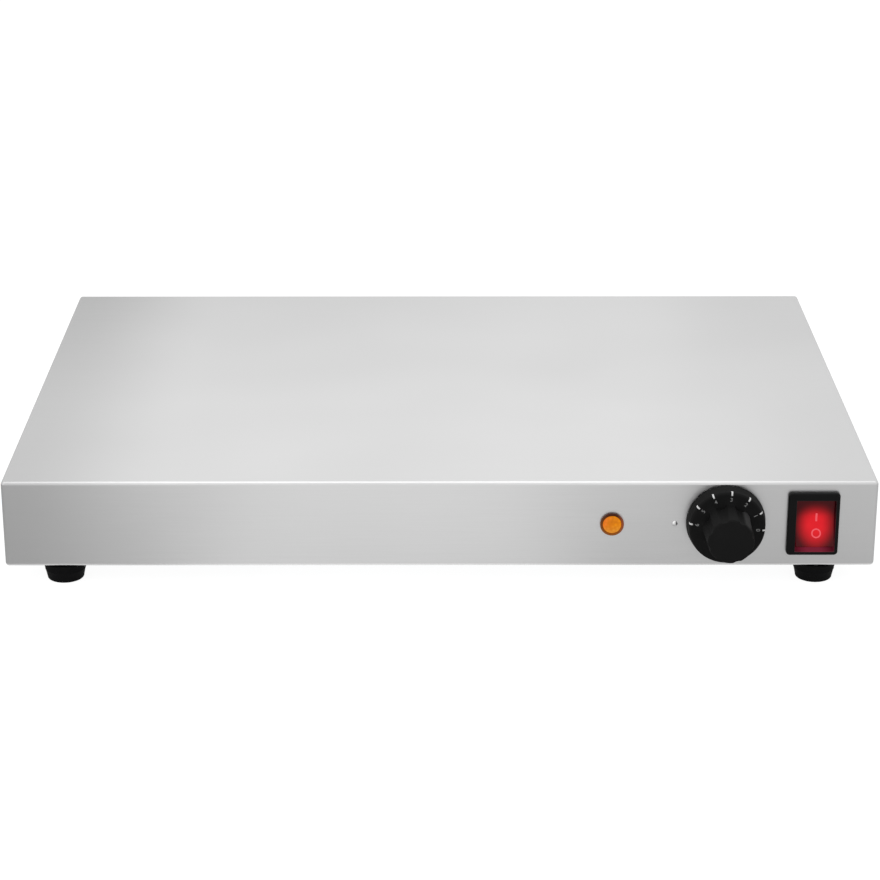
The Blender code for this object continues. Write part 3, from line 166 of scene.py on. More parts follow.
shade = add_node(tree, "ShaderNodeMapRange", {
    0: ahead, 1: SHADE_NEAR[0], 2: SHADE_FAR[0], 3: SHADE_NEAR[1], 4: SHADE_FAR[1]}).outputs[0]
mirrored = add_node(tree, "ShaderNodeEmission", {"Color": painted_flag_shade.outputs[0], "Strength": shade})
mixed = add_node(tree, "ShaderNodeMixShader", {0: seen.outputs[0], 1: plain.outputs[0], 2: shown.outputs[0]})
mixed = add_node(tree, "ShaderNodeMixShader", {
    0: rays["Is Glossy Ray"], 1: mixed.outputs[0], 2: mirrored.outputs[0]})
add_node(tree, "ShaderNodeOutputMaterial", {"Surface": mixed.outputs[0]})
bm = bmesh.new()
bmesh.ops.create_grid(bm, x_segments=1, y_segments=1, size=FLOOR_HALF)
mesh = bpy.data.meshes.new("floor")
bm.to_mesh(mesh)
bm.free()
mesh.materials.append(paper)
floor = bpy.data.objects.new("floor", mesh)
scene.collection.objects.link(floor)

for name, place, turn, size, power in (
    ("soft_box_above", (-0.3, -0.2, 1.5), (0, 0, 0), (1.8, 1.2), 4.5),
    ("soft_box_front_left", (-1.4, -1.5, 1.0), (math.radians(62), 0, math.radians(-43)), (1.0, 1.0), 3.2),
):
    light = bpy.data.lights.new(name, "AREA")
    light.shape = "RECTANGLE"
    light.size, light.size_y = size
    light.energy = power
    box = bpy.data.objects.new(name, light)
    box.location = place
    box.rotation_euler = turn
    scene.collection.objects.link(box)


# The cover: one 1 mm stainless sheet folded down on four sides, with a 22 mm flange turned in below.
# Its skirts are pierced for the controls and the inlet, and four studs are welded under its top.

SHELL_LOW, SHELL_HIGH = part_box("top_shell")
FRONT, BACK, TOP = SHELL_LOW.y, SHELL_HIGH.y, SHELL_HIGH.z
SHEET = 0.001
BEND_RADIUS = 0.0022
BEND_SEGMENTS = 8
FLANGE_WIDTH = 0.022
GAP = 0.0003
KNOB_TURN, ROCKER_TILT = (Vector(joint["pos_m"]) for joint in frame["joints"])
LAMP = sum(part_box("lamp_lens"), Vector()) / 2
PIP = sum(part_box("index_pip"), Vector()) / 2
INLET = sum(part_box("inlet_body"), Vector()) / 2
STAT_SCREWS = [sum(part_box("thermostat_screw_" + side), Vector()) / 2 for side in ("left", "right")]
FLANGE_HOLES = [
    sum(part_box(kind + place), Vector()) / 2
    for kind, places in (
        ("base_screw_", ("front", "back", "left", "right")),
        ("foot_screw_", ("front_left", "front_right", "back_left", "back_right")),
    )
    for place in places
]
TO_FRONT = Matrix.Rotation(math.pi / 2, 4, "X")
SMOOTH_BELOW = math.radians(32)


def block(size, centre=(0, 0, 0)):
    """A box of that size as a bmesh."""
    bm = bmesh.new()
    bmesh.ops.create_cube(bm, size=1, matrix=Matrix.LocRotScale(Vector(centre), None, Vector(size)))
    return bm


def soften(bm, width, segments, pick):
    """Rounds the edges that pick chooses."""
    edges = [edge for edge in bm.edges if pick(edge)]
    bmesh.ops.bevel(
        bm, geom=edges, offset=width, offset_type="OFFSET", segments=segments,
        profile=0.5, affect="EDGES", clamp_overlap=True, material=-1,
    )


def spun(outline, steps, place=Matrix.Identity(4), angle=2 * math.pi):
    """An outline of (radius, height) points spun about Z, then put in its place."""
    bm = bmesh.new()
    corners = [bm.verts.new((radius, 0, height)) for radius, height in outline]
    edges = [bm.edges.new(pair) for pair in zip(corners, corners[1:])]
    bmesh.ops.spin(
        bm, geom=corners + edges, cent=(0, 0, 0), axis=(0, 0, 1), dvec=(0, 0, 0),
        angle=angle, steps=steps, use_merge=angle > 6, use_duplicate=False,
    )
    bmesh.ops.remove_doubles(bm, verts=bm.verts, dist=1e-7)
    bmesh.ops.recalc_face_normals(bm, faces=bm.faces)
    bmesh.ops.transform(bm, matrix=place, verts=bm.verts)
    return bm


def piece(name, bm, material=None, body="housing"):
    """An object from a bmesh, smooth but for its sharp bends, that rides on a body of the frame."""
    mesh = bpy.data.meshes.new(name)
    bm.to_mesh(mesh)
    bm.free()
    mesh.shade_smooth()
    mesh.set_sharp_from_angle(angle=SMOOTH_BELOW)
    obj = bpy.data.objects.new(name, mesh)
    scene.collection.objects.link(obj)
    if material:
        mesh.materials.append(material)
        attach(obj, body)
    return obj


def bake(obj):
    """Its modifiers worked into the mesh."""
    bpy.context.view_layer.update()
    done = bpy.data.meshes.new_from_object(obj.evaluated_get(bpy.context.evaluated_depsgraph_get()))
    obj.modifiers.clear()
    obj.data = done
    done.shade_smooth()
    done.set_sharp_from_angle(angle=SMOOTH_BELOW)


def shaped(obj, operation, tools):
    """Joins or cuts the object with each tool, and takes the tools away."""
    for tool in tools:
        change = obj.modifiers.new(operation.lower(), "BOOLEAN")
        change.operation = operation
        change.solver = "EXACT"
        change.object = tool
    bake(obj)
    for tool in tools:
        bpy.data.objects.remove(tool)


# Satin stainless sheet, brushed in the mill along the cover's width, so the grain turns down on the
# end skirts. It gives a soft blurred mirror with fine streaks. The real lines are about 0.05 mm
# apart, and they are drawn 0.6 mm apart and 40 mm long so that they show. Painted shade darkens the
# colour towards both ends of the sheet and towards its back, for the dimmer reflections there, and a
# painted highlight makes the lower fold pale.
LINE_MM, STREAK_MM, CLOUD_MM = 0.6, 40, 130
steel, tree, place = new_material("brushed_stainless_sheet")
along = add_node(tree, "ShaderNodeMapping", {
    "Vector": place, "Scale": (1000 / STREAK_MM, 1000 / LINE_MM, 1000 / LINE_MM)})
down = add_node(tree, "ShaderNodeMapping", {
    "Vector": place, "Scale": (1000 / LINE_MM, 1000 / LINE_MM, 1000 / STREAK_MM)})
normal = add_node(tree, "ShaderNodeNewGeometry").outputs["Normal"]
sideways = add_node(tree, "ShaderNodeSeparateXYZ", {0: normal}).outputs["X"]
sideways = add_node(tree, "ShaderNodeMath", {0: sideways}, operation="ABSOLUTE").outputs[0]
on_ends = add_node(tree, "ShaderNodeMath", {0: sideways, 1: 0.75}, operation="GREATER_THAN").outputs[0]
grain_place = add_node(tree, "ShaderNodeMix", {
    0: on_ends, 4: along.outputs[0], 5: down.outputs[0]}, data_type="VECTOR").outputs[1]
grain = add_node(tree, "ShaderNodeTexNoise", {
    "Vector": grain_place, "Scale": 1.0, "Detail": 3.0, "Roughness": 0.6}).outputs[0]
cloud = add_node(tree, "ShaderNodeTexNoise", {
    "Vector": place, "Scale": 1000 / CLOUD_MM, "Detail": 1.0}).outputs[0]
blur = add_node(tree, "ShaderNodeMapRange", {0: grain, 1: 0.25, 2: 0.75, 3: 0.32, 4: 0.42}).outputs[0]
tone = add_node(tree, "ShaderNodeMath", {0: grain, 1: 0.55, 2: cloud}, operation="MULTIPLY_ADD").outputs[0]
sheet_colour = add_node(tree, "ShaderNodeMix", {
    0: tone, 6: colour("#D0D0D0"), 7: colour("#DEDEDE")}, data_type="RGBA").outputs[2]
places = add_node(tree, "ShaderNodeSeparateXYZ", {0: place}).outputs
# Painted shade: the colour darkens towards both ends of the sheet and towards its back.
left_end_shade = add_node(tree, "ShaderNodeMapRange", {
    0: places["X"], 1: -0.150, 2: -0.250, 3: 0.0, 4: 0.62}, interpolation_type="SMOOTHSTEP").outputs[0]
right_end_shade = add_node(tree, "ShaderNodeMapRange", {
    0: places["X"], 1: 0.100, 2: 0.250, 3: 0.0, 4: 0.30}, interpolation_type="SMOOTHSTEP").outputs[0]
back_shade_reach = add_node(tree, "ShaderNodeMapRange", {
    0: places["X"], 1: -0.05, 2: 0.15, 3: 0.40, 4: 0.16}).outputs[0]
back_shade = add_node(tree, "ShaderNodeMapRange", {
    0: places["Y"], 1: -0.03, 2: 0.20, 3: 0.0, 4: back_shade_reach}).outputs[0]
painted_end_shade = add_node(tree, "ShaderNodeMath", {0: left_end_shade, 1: right_end_shade}, operation="ADD").outputs[0]
painted_end_shade = add_node(tree, "ShaderNodeMath", {0: painted_end_shade, 1: back_shade}, operation="ADD", use_clamp=True).outputs[0]
sheet_colour = add_node(tree, "ShaderNodeMix", {
    0: painted_end_shade, 6: sheet_colour, 7: colour("#B1B1B1")}, data_type="RGBA").outputs[2]
# Painted highlight: the lower fold is lightened almost to white.
fold_highlight = add_node(tree, "ShaderNodeMapRange", {
    0: places["Z"], 1: SHELL_LOW.z + 0.0020, 2: SHELL_LOW.z + 0.0012, 3: 0.0, 4: 1.0}).outputs[0]
sheet_colour = add_node(tree, "ShaderNodeMix", {
    0: fold_highlight, 6: sheet_colour, 7: colour("#FAFAFA")}, data_type="RGBA").outputs[2]
ridges = add_node(tree, "ShaderNodeBump", {
    "Strength": 0.25, "Distance": 0.00002, "Height": grain}).outputs[0]
shader = add_node(tree, "ShaderNodeBsdfPrincipled", {
    "Base Color": sheet_colour, "Metallic": 1.0, "Roughness": blur, "Normal": ridges})
add_node(tree, "ShaderNodeOutputMaterial", {"Surface": shader.outputs[0]})

bm = block(SHELL_HIGH - SHELL_LOW, (SHELL_LOW + SHELL_HIGH) / 2)
bottom = min(bm.faces, key=lambda face: face.calc_center_median().z)
bmesh.ops.inset_region(bm, faces=[bottom], thickness=FLANGE_WIDTH, use_even_offset=True)
bmesh.ops.delete(bm, geom=[bottom], context="FACES")
soften(bm, BEND_RADIUS, BEND_SEGMENTS, lambda edge: len(edge.link_faces) == 2 and edge.calc_face_angle() > 1)
cover = piece("cover", bm, steel)
wall = cover.modifiers.new("sheet", "SOLIDIFY")
wall.thickness = SHEET
wall.offset = -1
wall.use_even_offset = True
bake(cover)
THROUGH = 0.004
LAMP_HOLE, PIP_HOLE, SPINDLE_HOLE, SCREW_HOLE = 0.0062, 0.0010, 0.0048, 0.0023
round_holes = [
    (Vector((LAMP.x, FRONT, LAMP.z)), LAMP_HOLE, TO_FRONT),
    (Vector((PIP.x, FRONT, PIP.z)), PIP_HOLE, TO_FRONT),
    (Vector((KNOB_TURN.x, FRONT, KNOB_TURN.z)), SPINDLE_HOLE, TO_FRONT),
    *((Vector((screw.x, FRONT, screw.z)), SCREW_HOLE, TO_FRONT) for screw in STAT_SCREWS),
    *((Vector((screw.x, screw.y, SHELL_LOW.z)), SCREW_HOLE, Matrix.Identity(4)) for screw in FLANGE_HOLES),
]
tools = []
for centre, radius, turn in round_holes:
    outline = [(0, -THROUGH), (radius, -THROUGH), (radius, THROUGH), (0, THROUGH)]
    tools.append(piece("hole", spun(outline, 48, Matrix.Translation(centre) @ turn)))
HOUSING_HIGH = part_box("switch_housing")[1]
CASE = (0.0252, 0.0340)
ROCKER = Vector((ROCKER_TILT.x, FRONT, ROCKER_TILT.z))
tools.append(piece("hole", block((CASE[0] + 2 * GAP, 2 * THROUGH, CASE[1] + 2 * GAP), ROCKER)))
INLET_CASE = (0.027, 0.020)
inlet_hole = (INLET_CASE[0] + 2 * GAP, 2 * THROUGH, INLET_CASE[1] + 2 * GAP)
tools.append(piece("hole", block(inlet_hole, (INLET.x, BACK, INLET.z))))
shaped(cover, "DIFFERENCE", tools)
cover.modifiers.new("flat_faces", "WEIGHTED_NORMAL").keep_sharp = True

# M4 studs of 0.7 mm pitch, each with a weld collar at its root.
M4_PITCH = 0.0007
bm = bmesh.new()
for row in ("front", "back"):
    for side in ("left", "right"):
        nut_low, nut_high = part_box(f"clamp_nut_{row}_{side}")
        end, root = nut_low.z - 0.0008, TOP - SHEET
        outline = [(0, end), (0.0014, end), (0.0017, end + 0.0004)]
        for turn in range(int((root - end - 0.0030) / M4_PITCH)):
            start = end + 0.0006 + turn * M4_PITCH
            outline += [(0.0020, start + M4_PITCH / 2), (0.0016, start + M4_PITCH)]
        outline += [(0.0018, root - 0.0016), (0.0020, root - 0.0006), (0.0028, root), (0, root)]
        centre = (nut_low + nut_high) / 2
        stud = spun(outline, 24, Matrix.Translation((centre.x, centre.y, 0)))
        mesh = bpy.data.meshes.new("stud")
        stud.to_mesh(mesh)
        stud.free()
        bm.from_mesh(mesh)
        bpy.data.meshes.remove(mesh)
weld_studs = piece("weld_studs", bm, steel)
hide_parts("top_shell")
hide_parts("top_shell")


# The feet: tapered moulded rubber, each held by a screw down in its recess.
# A fine parting line runs round them, and the lower rim is rounded where it has worn.

FEET = ("front_left", "front_right", "back_left", "back_right")
FOOT_BOTTOM_RADIUS = 0.0105
PARTING_DROP = 0.0046
RECESS_RADIUS, RECESS_DEPTH = 0.0048, 0.0060

# Black moulded rubber: matt and close to black, with a faint bloom and a 0.15 mm grain from the
# mould, drawn 0.4 mm coarse so that it shows.
rubber, tree, place = new_material("moulded_black_rubber")
grain = add_node(tree, "ShaderNodeTexNoise", {
    "Vector": place, "Scale": 1000 / 0.4, "Detail": 2.0}).outputs[0]
bloom = add_node(tree, "ShaderNodeTexNoise", {"Vector": place, "Scale": 1000 / 9, "Detail": 3.0}).outputs[0]
shade = add_node(tree, "ShaderNodeMix", {
    0: bloom, 6: colour("#09090A"), 7: colour("#101011")}, data_type="RGBA").outputs[2]
bumps = add_node(tree, "ShaderNodeBump", {"Strength": 0.3, "Distance": 0.00005, "Height": grain}).outputs[0]
shader = add_node(tree, "ShaderNodeBsdfPrincipled", {
    "Base Color": shade, "Roughness": 0.70, "Specular IOR Level": 0.08, "Normal": bumps})
add_node(tree, "ShaderNodeOutputMaterial", {"Surface": shader.outputs[0]})


def arc(centre, radius, start, end, steps):
    """Points of an arc in an outline, from start to end degrees."""
    angles = [math.radians(start + (end - start) * step / steps) for step in range(steps + 1)]
    return [(centre[0] + radius * math.cos(a), centre[1] + radius * math.sin(a)) for a in angles]


for corner in FEET:
    low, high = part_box("foot_" + corner)
    centre = (low + high) / 2
    height, top_radius = high.z, (high.x - low.x) / 2
    slope = (top_radius - FOOT_BOTTOM_RADIUS) / (height - 0.0007)
    outline = [
        (SCREW_HOLE, height), (top_radius - 0.0004, height), (top_radius, height - 0.0004),
        (top_radius - slope * PARTING_DROP, height - PARTING_DROP),
        (top_radius - slope * PARTING_DROP + 0.0001, height - 0.0049),
        (top_radius - slope * 0.0052, height - 0.0052),
        *arc((FOOT_BOTTOM_RADIUS - 0.0008, 0.0009), 0.0009, 10, -90, 6),
        (0.0052, 0), (RECESS_RADIUS, 0.0004), (RECESS_RADIUS, RECESS_DEPTH),
        (SCREW_HOLE, RECESS_DEPTH), (SCREW_HOLE, height),
    ]
    turned = spun(outline, 72, Matrix.Translation((centre.x, centre.y, 0)))
    foot = piece("rubber_foot_" + corner, turned, rubber)
    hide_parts("foot_" + corner)


# The screws: M4 pan heads with a pressed cross recess, of bright zinc-plated steel.
# Four hold the base, four go up through the feet, and two carry the thermostat behind the knob.

# Bright zinc plate on steel: a clean grey mirror, a little blurred, with the bluish cast of its
# passivation in patches of about 5 mm.
zinc = speckled("bright_zinc_plate", 5, 3.0, "#AEB4BC", "#CBCBC6", (0.22, 0.38), 1.0)

HEAD_RADIUS, HEAD_HEIGHT, SHANK_RADIUS = 0.0036, 0.0024, 0.0020
CROSS_LENGTH, CROSS_WIDTH, CROSS_DEPTH, CROSS_TAPER = 0.0038, 0.0008, 0.0030, 0.45
DOWN = Matrix.Rotation(math.pi, 4, "X")


def pan_head_screw(node, seat, turn):
    """A pan-head screw of that node's length. Its head stands on seat, and turn takes +Z to the head."""
    low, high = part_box(node)
    length = max(high - low) - HEAD_HEIGHT
    outline = [
        (0, HEAD_HEIGHT), (0.0019, HEAD_HEIGHT - 0.0001),
        *arc((HEAD_RADIUS - 0.0013, HEAD_HEIGHT - 0.0015), 0.0013, 72, 0, 5),
        (HEAD_RADIUS, 0.0002), (HEAD_RADIUS - 0.0002, 0), (SHANK_RADIUS, 0), (0.0017, -0.0004),
    ]
    for ring in range(int((length - 0.0012) / M4_PITCH)):
        start = -0.0004 - ring * M4_PITCH
        outline += [(SHANK_RADIUS, start - M4_PITCH / 2), (0.0017, start - M4_PITCH)]
    outline += [(0.0015, 0.0004 - length), (0.0012, -length), (0, -length)]
    seating = Matrix.Translation(seat) @ turn
    screw = piece(node + "_pan_head", spun(outline, 32, seating), zinc)
    arms = []
    for size, narrowing in (
        ((CROSS_LENGTH, CROSS_WIDTH, CROSS_DEPTH), (CROSS_TAPER, 1, 1)),
        ((CROSS_WIDTH, CROSS_LENGTH, CROSS_DEPTH), (1, CROSS_TAPER, 1)),
    ):
        arm = block(size, (0, 0, HEAD_HEIGHT))
        tip = [vertex for vertex in arm.verts if vertex.co.z < HEAD_HEIGHT]
        bmesh.ops.scale(arm, vec=narrowing, verts=tip)
        bmesh.ops.transform(arm, matrix=seating, verts=arm.verts)
        arms.append(piece("recess", arm))
    shaped(screw, "DIFFERENCE", arms)
    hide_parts(node)


for name in ("base_screw_front", "base_screw_back", "base_screw_left", "base_screw_right",
             *("foot_screw_" + corner for corner in FEET)):
    low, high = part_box(name)
    centre = (low + high) / 2
    pan_head_screw(name, (centre.x, centre.y, low.z + HEAD_HEIGHT), DOWN)
for name in ("thermostat_screw_left", "thermostat_screw_right"):
    low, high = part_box(name)
    centre = (low + high) / 2
    pan_head_screw(name, (centre.x, low.y + HEAD_HEIGHT, centre.z), TO_FRONT)


# The dial knob: one black phenolic moulding with a wide hollow skirt and a fluted hub for the hand.
# It pushes on the thermostat's flatted spindle, and its seven marks and figures are printed white.

FACE = 0.0100
HUB_END = 0.0305
KNOB_TILT = math.radians(5.4)
KNOB_SEAT = (
    Matrix.Translation((KNOB_TURN.x, FRONT, KNOB_TURN.z))
    @ Matrix.Rotation(KNOB_TILT, 4, "Y") @ TO_FRONT
)
FLUTES = 8
FLUTE_RADIUS = 0.0042
FLUTE_CENTRE = 0.0164
SHOULDER = math.radians(42)

# Black phenolic: a moulded satin black with the fine 0.3 mm sandy grain of the mould and small dull
# patches left by fingers. A painted highlight lightens the hub's upper right shoulder to a dark grey.
phenolic, tree, place = new_material("moulded_black_phenolic")
grain = add_node(tree, "ShaderNodeTexNoise", {
    "Vector": place, "Scale": 1000 / 0.3, "Detail": 2.0}).outputs[0]
patches = add_node(tree, "ShaderNodeTexNoise", {
    "Vector": place, "Scale": 1000 / 14, "Detail": 3.0}).outputs[0]
shade = add_node(tree, "ShaderNodeMix", {
    0: patches, 6: colour("#181818"), 7: colour("#1F1F1F")}, data_type="RGBA").outputs[2]
offset = add_node(tree, "ShaderNodeVectorMath", {0: place, 1: KNOB_TURN}, operation="SUBTRACT").outputs[0]
# Painted highlight: a dark grey sheen on the hub's upper right shoulder, ahead of the face.
shoulder_sheen = add_node(tree, "ShaderNodeVectorMath", {
    0: offset, 1: (math.cos(SHOULDER), 0, math.sin(SHOULDER))}, operation="DOT_PRODUCT").outputs["Value"]
shoulder_sheen = add_node(tree, "ShaderNodeMapRange", {
    0: shoulder_sheen, 1: 0.0122, 2: 0.0138, 3: 0.0, 4: 1.0}, interpolation_type="SMOOTHSTEP").outputs[0]
ahead = add_node(tree, "ShaderNodeSeparateXYZ", {0: offset}).outputs["Y"]
ahead = add_node(tree, "ShaderNodeMath", {0: ahead, 1: -FACE - 0.0010}, operation="LESS_THAN").outputs[0]
rubbing_and_sheen = add_node(tree, "ShaderNodeMath", {0: shoulder_sheen, 1: ahead}, operation="MULTIPLY").outputs[0]
shade = add_node(tree, "ShaderNodeMix", {
    0: rubbing_and_sheen, 6: shade, 7: colour("#3C3C3C")}, data_type="RGBA").outputs[2]
blur = add_node(tree, "ShaderNodeMapRange", {0: patches, 1: 0.3, 2: 0.7, 3: 0.55, 4: 0.66}).outputs[0]
bumps = add_node(tree, "ShaderNodeBump", {"Strength": 0.2, "Distance": 0.00003, "Height": grain}).outputs[0]
shader = add_node(tree, "ShaderNodeBsdfPrincipled", {
    "Base Color": shade, "Roughness": blur, "Specular IOR Level": 0.04, "Normal": bumps})
add_node(tree, "ShaderNodeOutputMaterial", {"Surface": shader.outputs[0]})

rim = [(0.0203, FACE), *arc((0.0203, FACE - 0.0014), 0.0014, 84, 12, 6), (0.0217, FACE - 0.0017)]
outline = [
    (0, HUB_END), (0.0060, HUB_END - 0.00003), (0.0105, HUB_END - 0.0001),
    *arc((0.0118, HUB_END - 0.0015), 0.0014, 86, 2, 7),
    *((0.0132 + 0.0011 * share, HUB_END - 0.0015 - 0.0183 * share)
      for share in (0.15, 0.3, 0.45, 0.6, 0.75, 0.9)),
    (0.0143, FACE + 0.0008), (0.0145, FACE + 0.0003), (0.0150, FACE),
    (0.0185, FACE), *rim, (0.0222, 0.0055), (0.0227, 0.0012), (0.0225, 0.0010),
    (0.0205, 0.0010), (0.0195, 0.0080), (0.0058, 0.0080), (0.0058, 0.0020),
    (0.0033, 0.0020), (0.0033, 0.0183), (0, 0.0183),
]
bm = spun(outline, 240)
for vertex in bm.verts:
    radius = math.hypot(vertex.co.x, vertex.co.y)
    if vertex.co.z > FACE + 0.00025 and 0.009 < radius < 0.0149:
        around = math.atan2(vertex.co.y, vertex.co.x) - math.pi / 2
        pitch = 2 * math.pi / FLUTES
        off = (around % pitch) - pitch / 2
        reach = FLUTE_RADIUS ** 2 - (FLUTE_CENTRE * math.sin(off)) ** 2
        if reach > 0:
            groove = FLUTE_CENTRE * math.cos(off) - math.sqrt(reach)
            if groove < radius:
                vertex.co.x *= groove / radius
                vertex.co.y *= groove / radius
bmesh.ops.transform(bm, matrix=KNOB_SEAT, verts=bm.verts)
knob = piece("dial_knob", bm, phenolic, "dial")
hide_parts("knob")

# White marking ink, pad printed: flat and matt, worn in specks of 0.5 mm. The marks on the rim are
# white, and the figures are shown a darker grey.
white_ink = speckled("white_pad_print", 0.5, 2.0, "#B9B9B9", "#FFFFFF", 0.6)
grey_ink = speckled("grey_figure_print", 0.5, 2.0, "#5C5C5C", "#A2A2A2", 0.6)

MARK_ANGLES = (178.4, 148.95, 119.5, 90.05, 60.6, 31.15, 1.7)
MARK_WIDTH = math.radians(2.6)
FIGURE_SIZE, FIGURE_RADIUS = 0.0032, 0.0174
INK = 0.00005


def printed(figure, size, seat, name):
    """A printed character as a thin mesh, standing on seat."""
    curve = bpy.data.curves.new(name, "FONT")
    curve.body = figure
    curve.size = size
    curve.align_x = "CENTER"
    curve.align_y = "CENTER"
    curve.extrude = INK / 2
    curve.offset = INK
    words = bpy.data.objects.new(name, curve)
    scene.collection.objects.link(words)
    bpy.context.view_layer.update()
    mesh = bpy.data.meshes.new_from_object(words.evaluated_get(bpy.context.evaluated_depsgraph_get()))
    bpy.data.objects.remove(words)
    bm = bmesh.new()
    bm.from_mesh(mesh)
    bpy.data.meshes.remove(mesh)
    bmesh.ops.remove_doubles(bm, verts=bm.verts, dist=1e-7)
    bmesh.ops.recalc_face_normals(bm, faces=bm.faces)
    bmesh.ops.transform(bm, matrix=seat, verts=bm.verts)
    return bm


for number, angle in enumerate(MARK_ANGLES):
    value = len(MARK_ANGLES) - 1 - number
    strip = [(0.0200, FACE)] + rim + [(0.0218, FACE - 0.0023)]
    outer = [(radius + INK * share, height + INK * (1 - share)) for (radius, height), share in
             zip(strip, (0, 0, 0.1, 0.3, 0.5, 0.65, 0.8, 0.9, 1, 1, 1))]
    seat = KNOB_SEAT @ Matrix.Rotation(math.radians(angle) - MARK_WIDTH / 2, 4, "Z")
    bm = spun(outer + strip[::-1] + outer[:1], 3, seat, MARK_WIDTH)
    bmesh.ops.holes_fill(bm, edges=bm.edges)
    bmesh.ops.recalc_face_normals(bm, faces=bm.faces)
    mark = piece(f"dial_mark_{value}", bm, white_ink, "dial")
    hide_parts("knob")
    seat = (
        KNOB_SEAT @ Matrix.Rotation(math.radians(angle - 90), 4, "Z")
        @ Matrix.Translation((0, FIGURE_RADIUS, FACE + INK / 2))
    )
    bm = printed(str(value), FIGURE_SIZE, seat, "figure")
    figure = piece(f"dial_figure_{value}", bm, grey_ink, "dial")
    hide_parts("knob")


# The index pip: a small stainless dome set in the skirt, which the marks of the dial are read from.
# Its stem is turned over behind the sheet.

outline = [
    (0, 0.0010), *arc((0, -0.0009), 0.0019, 78, 30, 6), (0.0017, 0.00006), (0.0017, 0.00002),
    (0.0007, 0.00002), (0.0007, -0.0014), (0.00095, -0.0018), (0.0006, -0.0020), (0, -0.0020),
]
bm = spun(outline, 40, Matrix.Translation((PIP.x, FRONT, PIP.z)) @ TO_FRONT)
pip = piece("index_pip_dome", bm, steel)
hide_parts("index_pip")


# The indicator lamp: a neon in a dark brown bezel behind a domed amber lens, lit in the photograph.
# The bezel's body goes through the skirt, and a black nut holds it from behind.

LAMP_SEAT = Matrix.Translation((LAMP.x, FRONT, LAMP.z)) @ TO_FRONT

# Tinted acrylic bezel: dark brown above, and an orange brown below and at its right, where the lit
# lens shines through it.
bezel, tree, place = new_material("brown_tinted_acrylic")
place = add_node(tree, "ShaderNodeMapping", {
    "Vector": place, "Location": (-LAMP.x, 0, -LAMP.z)}).outputs[0]
split = add_node(tree, "ShaderNodeSeparateXYZ", {0: place}).outputs
share = add_node(tree, "ShaderNodeMapRange", {
    0: split["Z"], 1: -0.006, 2: 0.006, 3: 0.0, 4: 1.0}).outputs[0]
rightward = add_node(tree, "ShaderNodeMapRange", {
    0: split["X"], 1: 0.003, 2: 0.0065, 3: 0.0, 4: 0.7}).outputs[0]
shade = add_node(tree, "ShaderNodeMix", {
    0: share, 6: colour("#9C5C22"), 7: colour("#481C04")}, data_type="RGBA").outputs[2]
shade = add_node(tree, "ShaderNodeMix", {
    0: rightward, 6: shade, 7: colour("#B05A3C")}, data_type="RGBA").outputs[2]
shader = add_node(tree, "ShaderNodeBsdfPrincipled", {
    "Base Color": shade, "Roughness": 0.22, "Specular IOR Level": 0.15})
add_node(tree, "ShaderNodeOutputMaterial", {"Surface": shader.outputs[0]})

outline = [
    (0, -0.0050), (0.0053, -0.0050), (0.0053, 0.0014), (0.0055, 0.0019),
    *arc((0.0060, 0.0012), 0.0008, 90, 0, 5), (0.0068, 0.00025), (0.0067, 0.00005), (0.0059, 0.00005),
    (0.0059, -0.0030),
]
BEZEL_THREADS, BEZEL_PITCH = 20, 0.0008
for ring in range(BEZEL_THREADS):
    outline += [(0.0056, -0.0034 - ring * BEZEL_PITCH), (0.0059, -0.0038 - ring * BEZEL_PITCH)]
outline += [(0.0055, -0.0200), (0.0055, -0.0236), (0.0051, -0.0240), (0, -0.0240)]
bezel_piece = piece("lamp_bezel", spun(outline, 72, LAMP_SEAT), bezel)
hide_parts("lamp_body")

# Amber polycarbonate lens, lit from behind: coral at the left, amber in the middle, and yellower low
# down where the neon shines through, with small facets moulded inside it, 1.8 mm apart.
amber, tree, place = new_material("lit_amber_polycarbonate")
place = add_node(tree, "ShaderNodeMapping", {
    "Vector": place, "Location": (-LAMP.x, 0, -LAMP.z)}).outputs[0]
split = add_node(tree, "ShaderNodeSeparateXYZ", {0: place}).outputs
leftward = add_node(tree, "ShaderNodeMapRange", {
    0: split["X"], 1: -0.0048, 2: 0.001, 3: 1.0, 4: 0.0}).outputs[0]
lowdown = add_node(tree, "ShaderNodeMapRange", {
    0: split["Z"], 1: -0.0045, 2: 0.0005, 3: 1.0, 4: 0.0}).outputs[0]
facets = add_node(tree, "ShaderNodeTexVoronoi", {"Vector": place, "Scale": 1000 / 1.8}).outputs["Distance"]
warm = add_node(tree, "ShaderNodeMix", {
    0: leftward, 6: colour("#EC8E06"), 7: colour("#F47426")}, data_type="RGBA").outputs[2]
warm = add_node(tree, "ShaderNodeMix", {
    0: lowdown, 6: warm, 7: colour("#DE9A36")}, data_type="RGBA").outputs[2]
warm = add_node(tree, "ShaderNodeMix", {
    0: facets, 6: warm, 7: colour("#C87008")}, data_type="RGBA").outputs[2]
shader = add_node(tree, "ShaderNodeBsdfPrincipled", {
    "Base Color": colour("#4A2200"), "Roughness": 0.15, "Specular IOR Level": 0.15,
    "Emission Color": warm, "Emission Strength": 0.95})
add_node(tree, "ShaderNodeOutputMaterial", {"Surface": shader.outputs[0]})
LENS_RADIUS = 0.0052
outline = [
    (0, 0.0026), *((LENS_RADIUS * math.sin(math.radians(a)), 0.0014 + 0.0012 * math.cos(math.radians(a)))
                   for a in (12, 24, 36, 48, 60, 72, 84)),
    (LENS_RADIUS, 0.0010), (LENS_RADIUS, -0.0046), (0, -0.0046),
]
lens = piece("lamp_dome", spun(outline, 72, LAMP_SEAT), amber)
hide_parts("lamp_lens")


# The switch housing: a black nylon snap-in case with a rounded frame over the skirt's cut-out.
# Its deep well holds the rocker, lugs catch behind the sheet, and four blades leave its back.

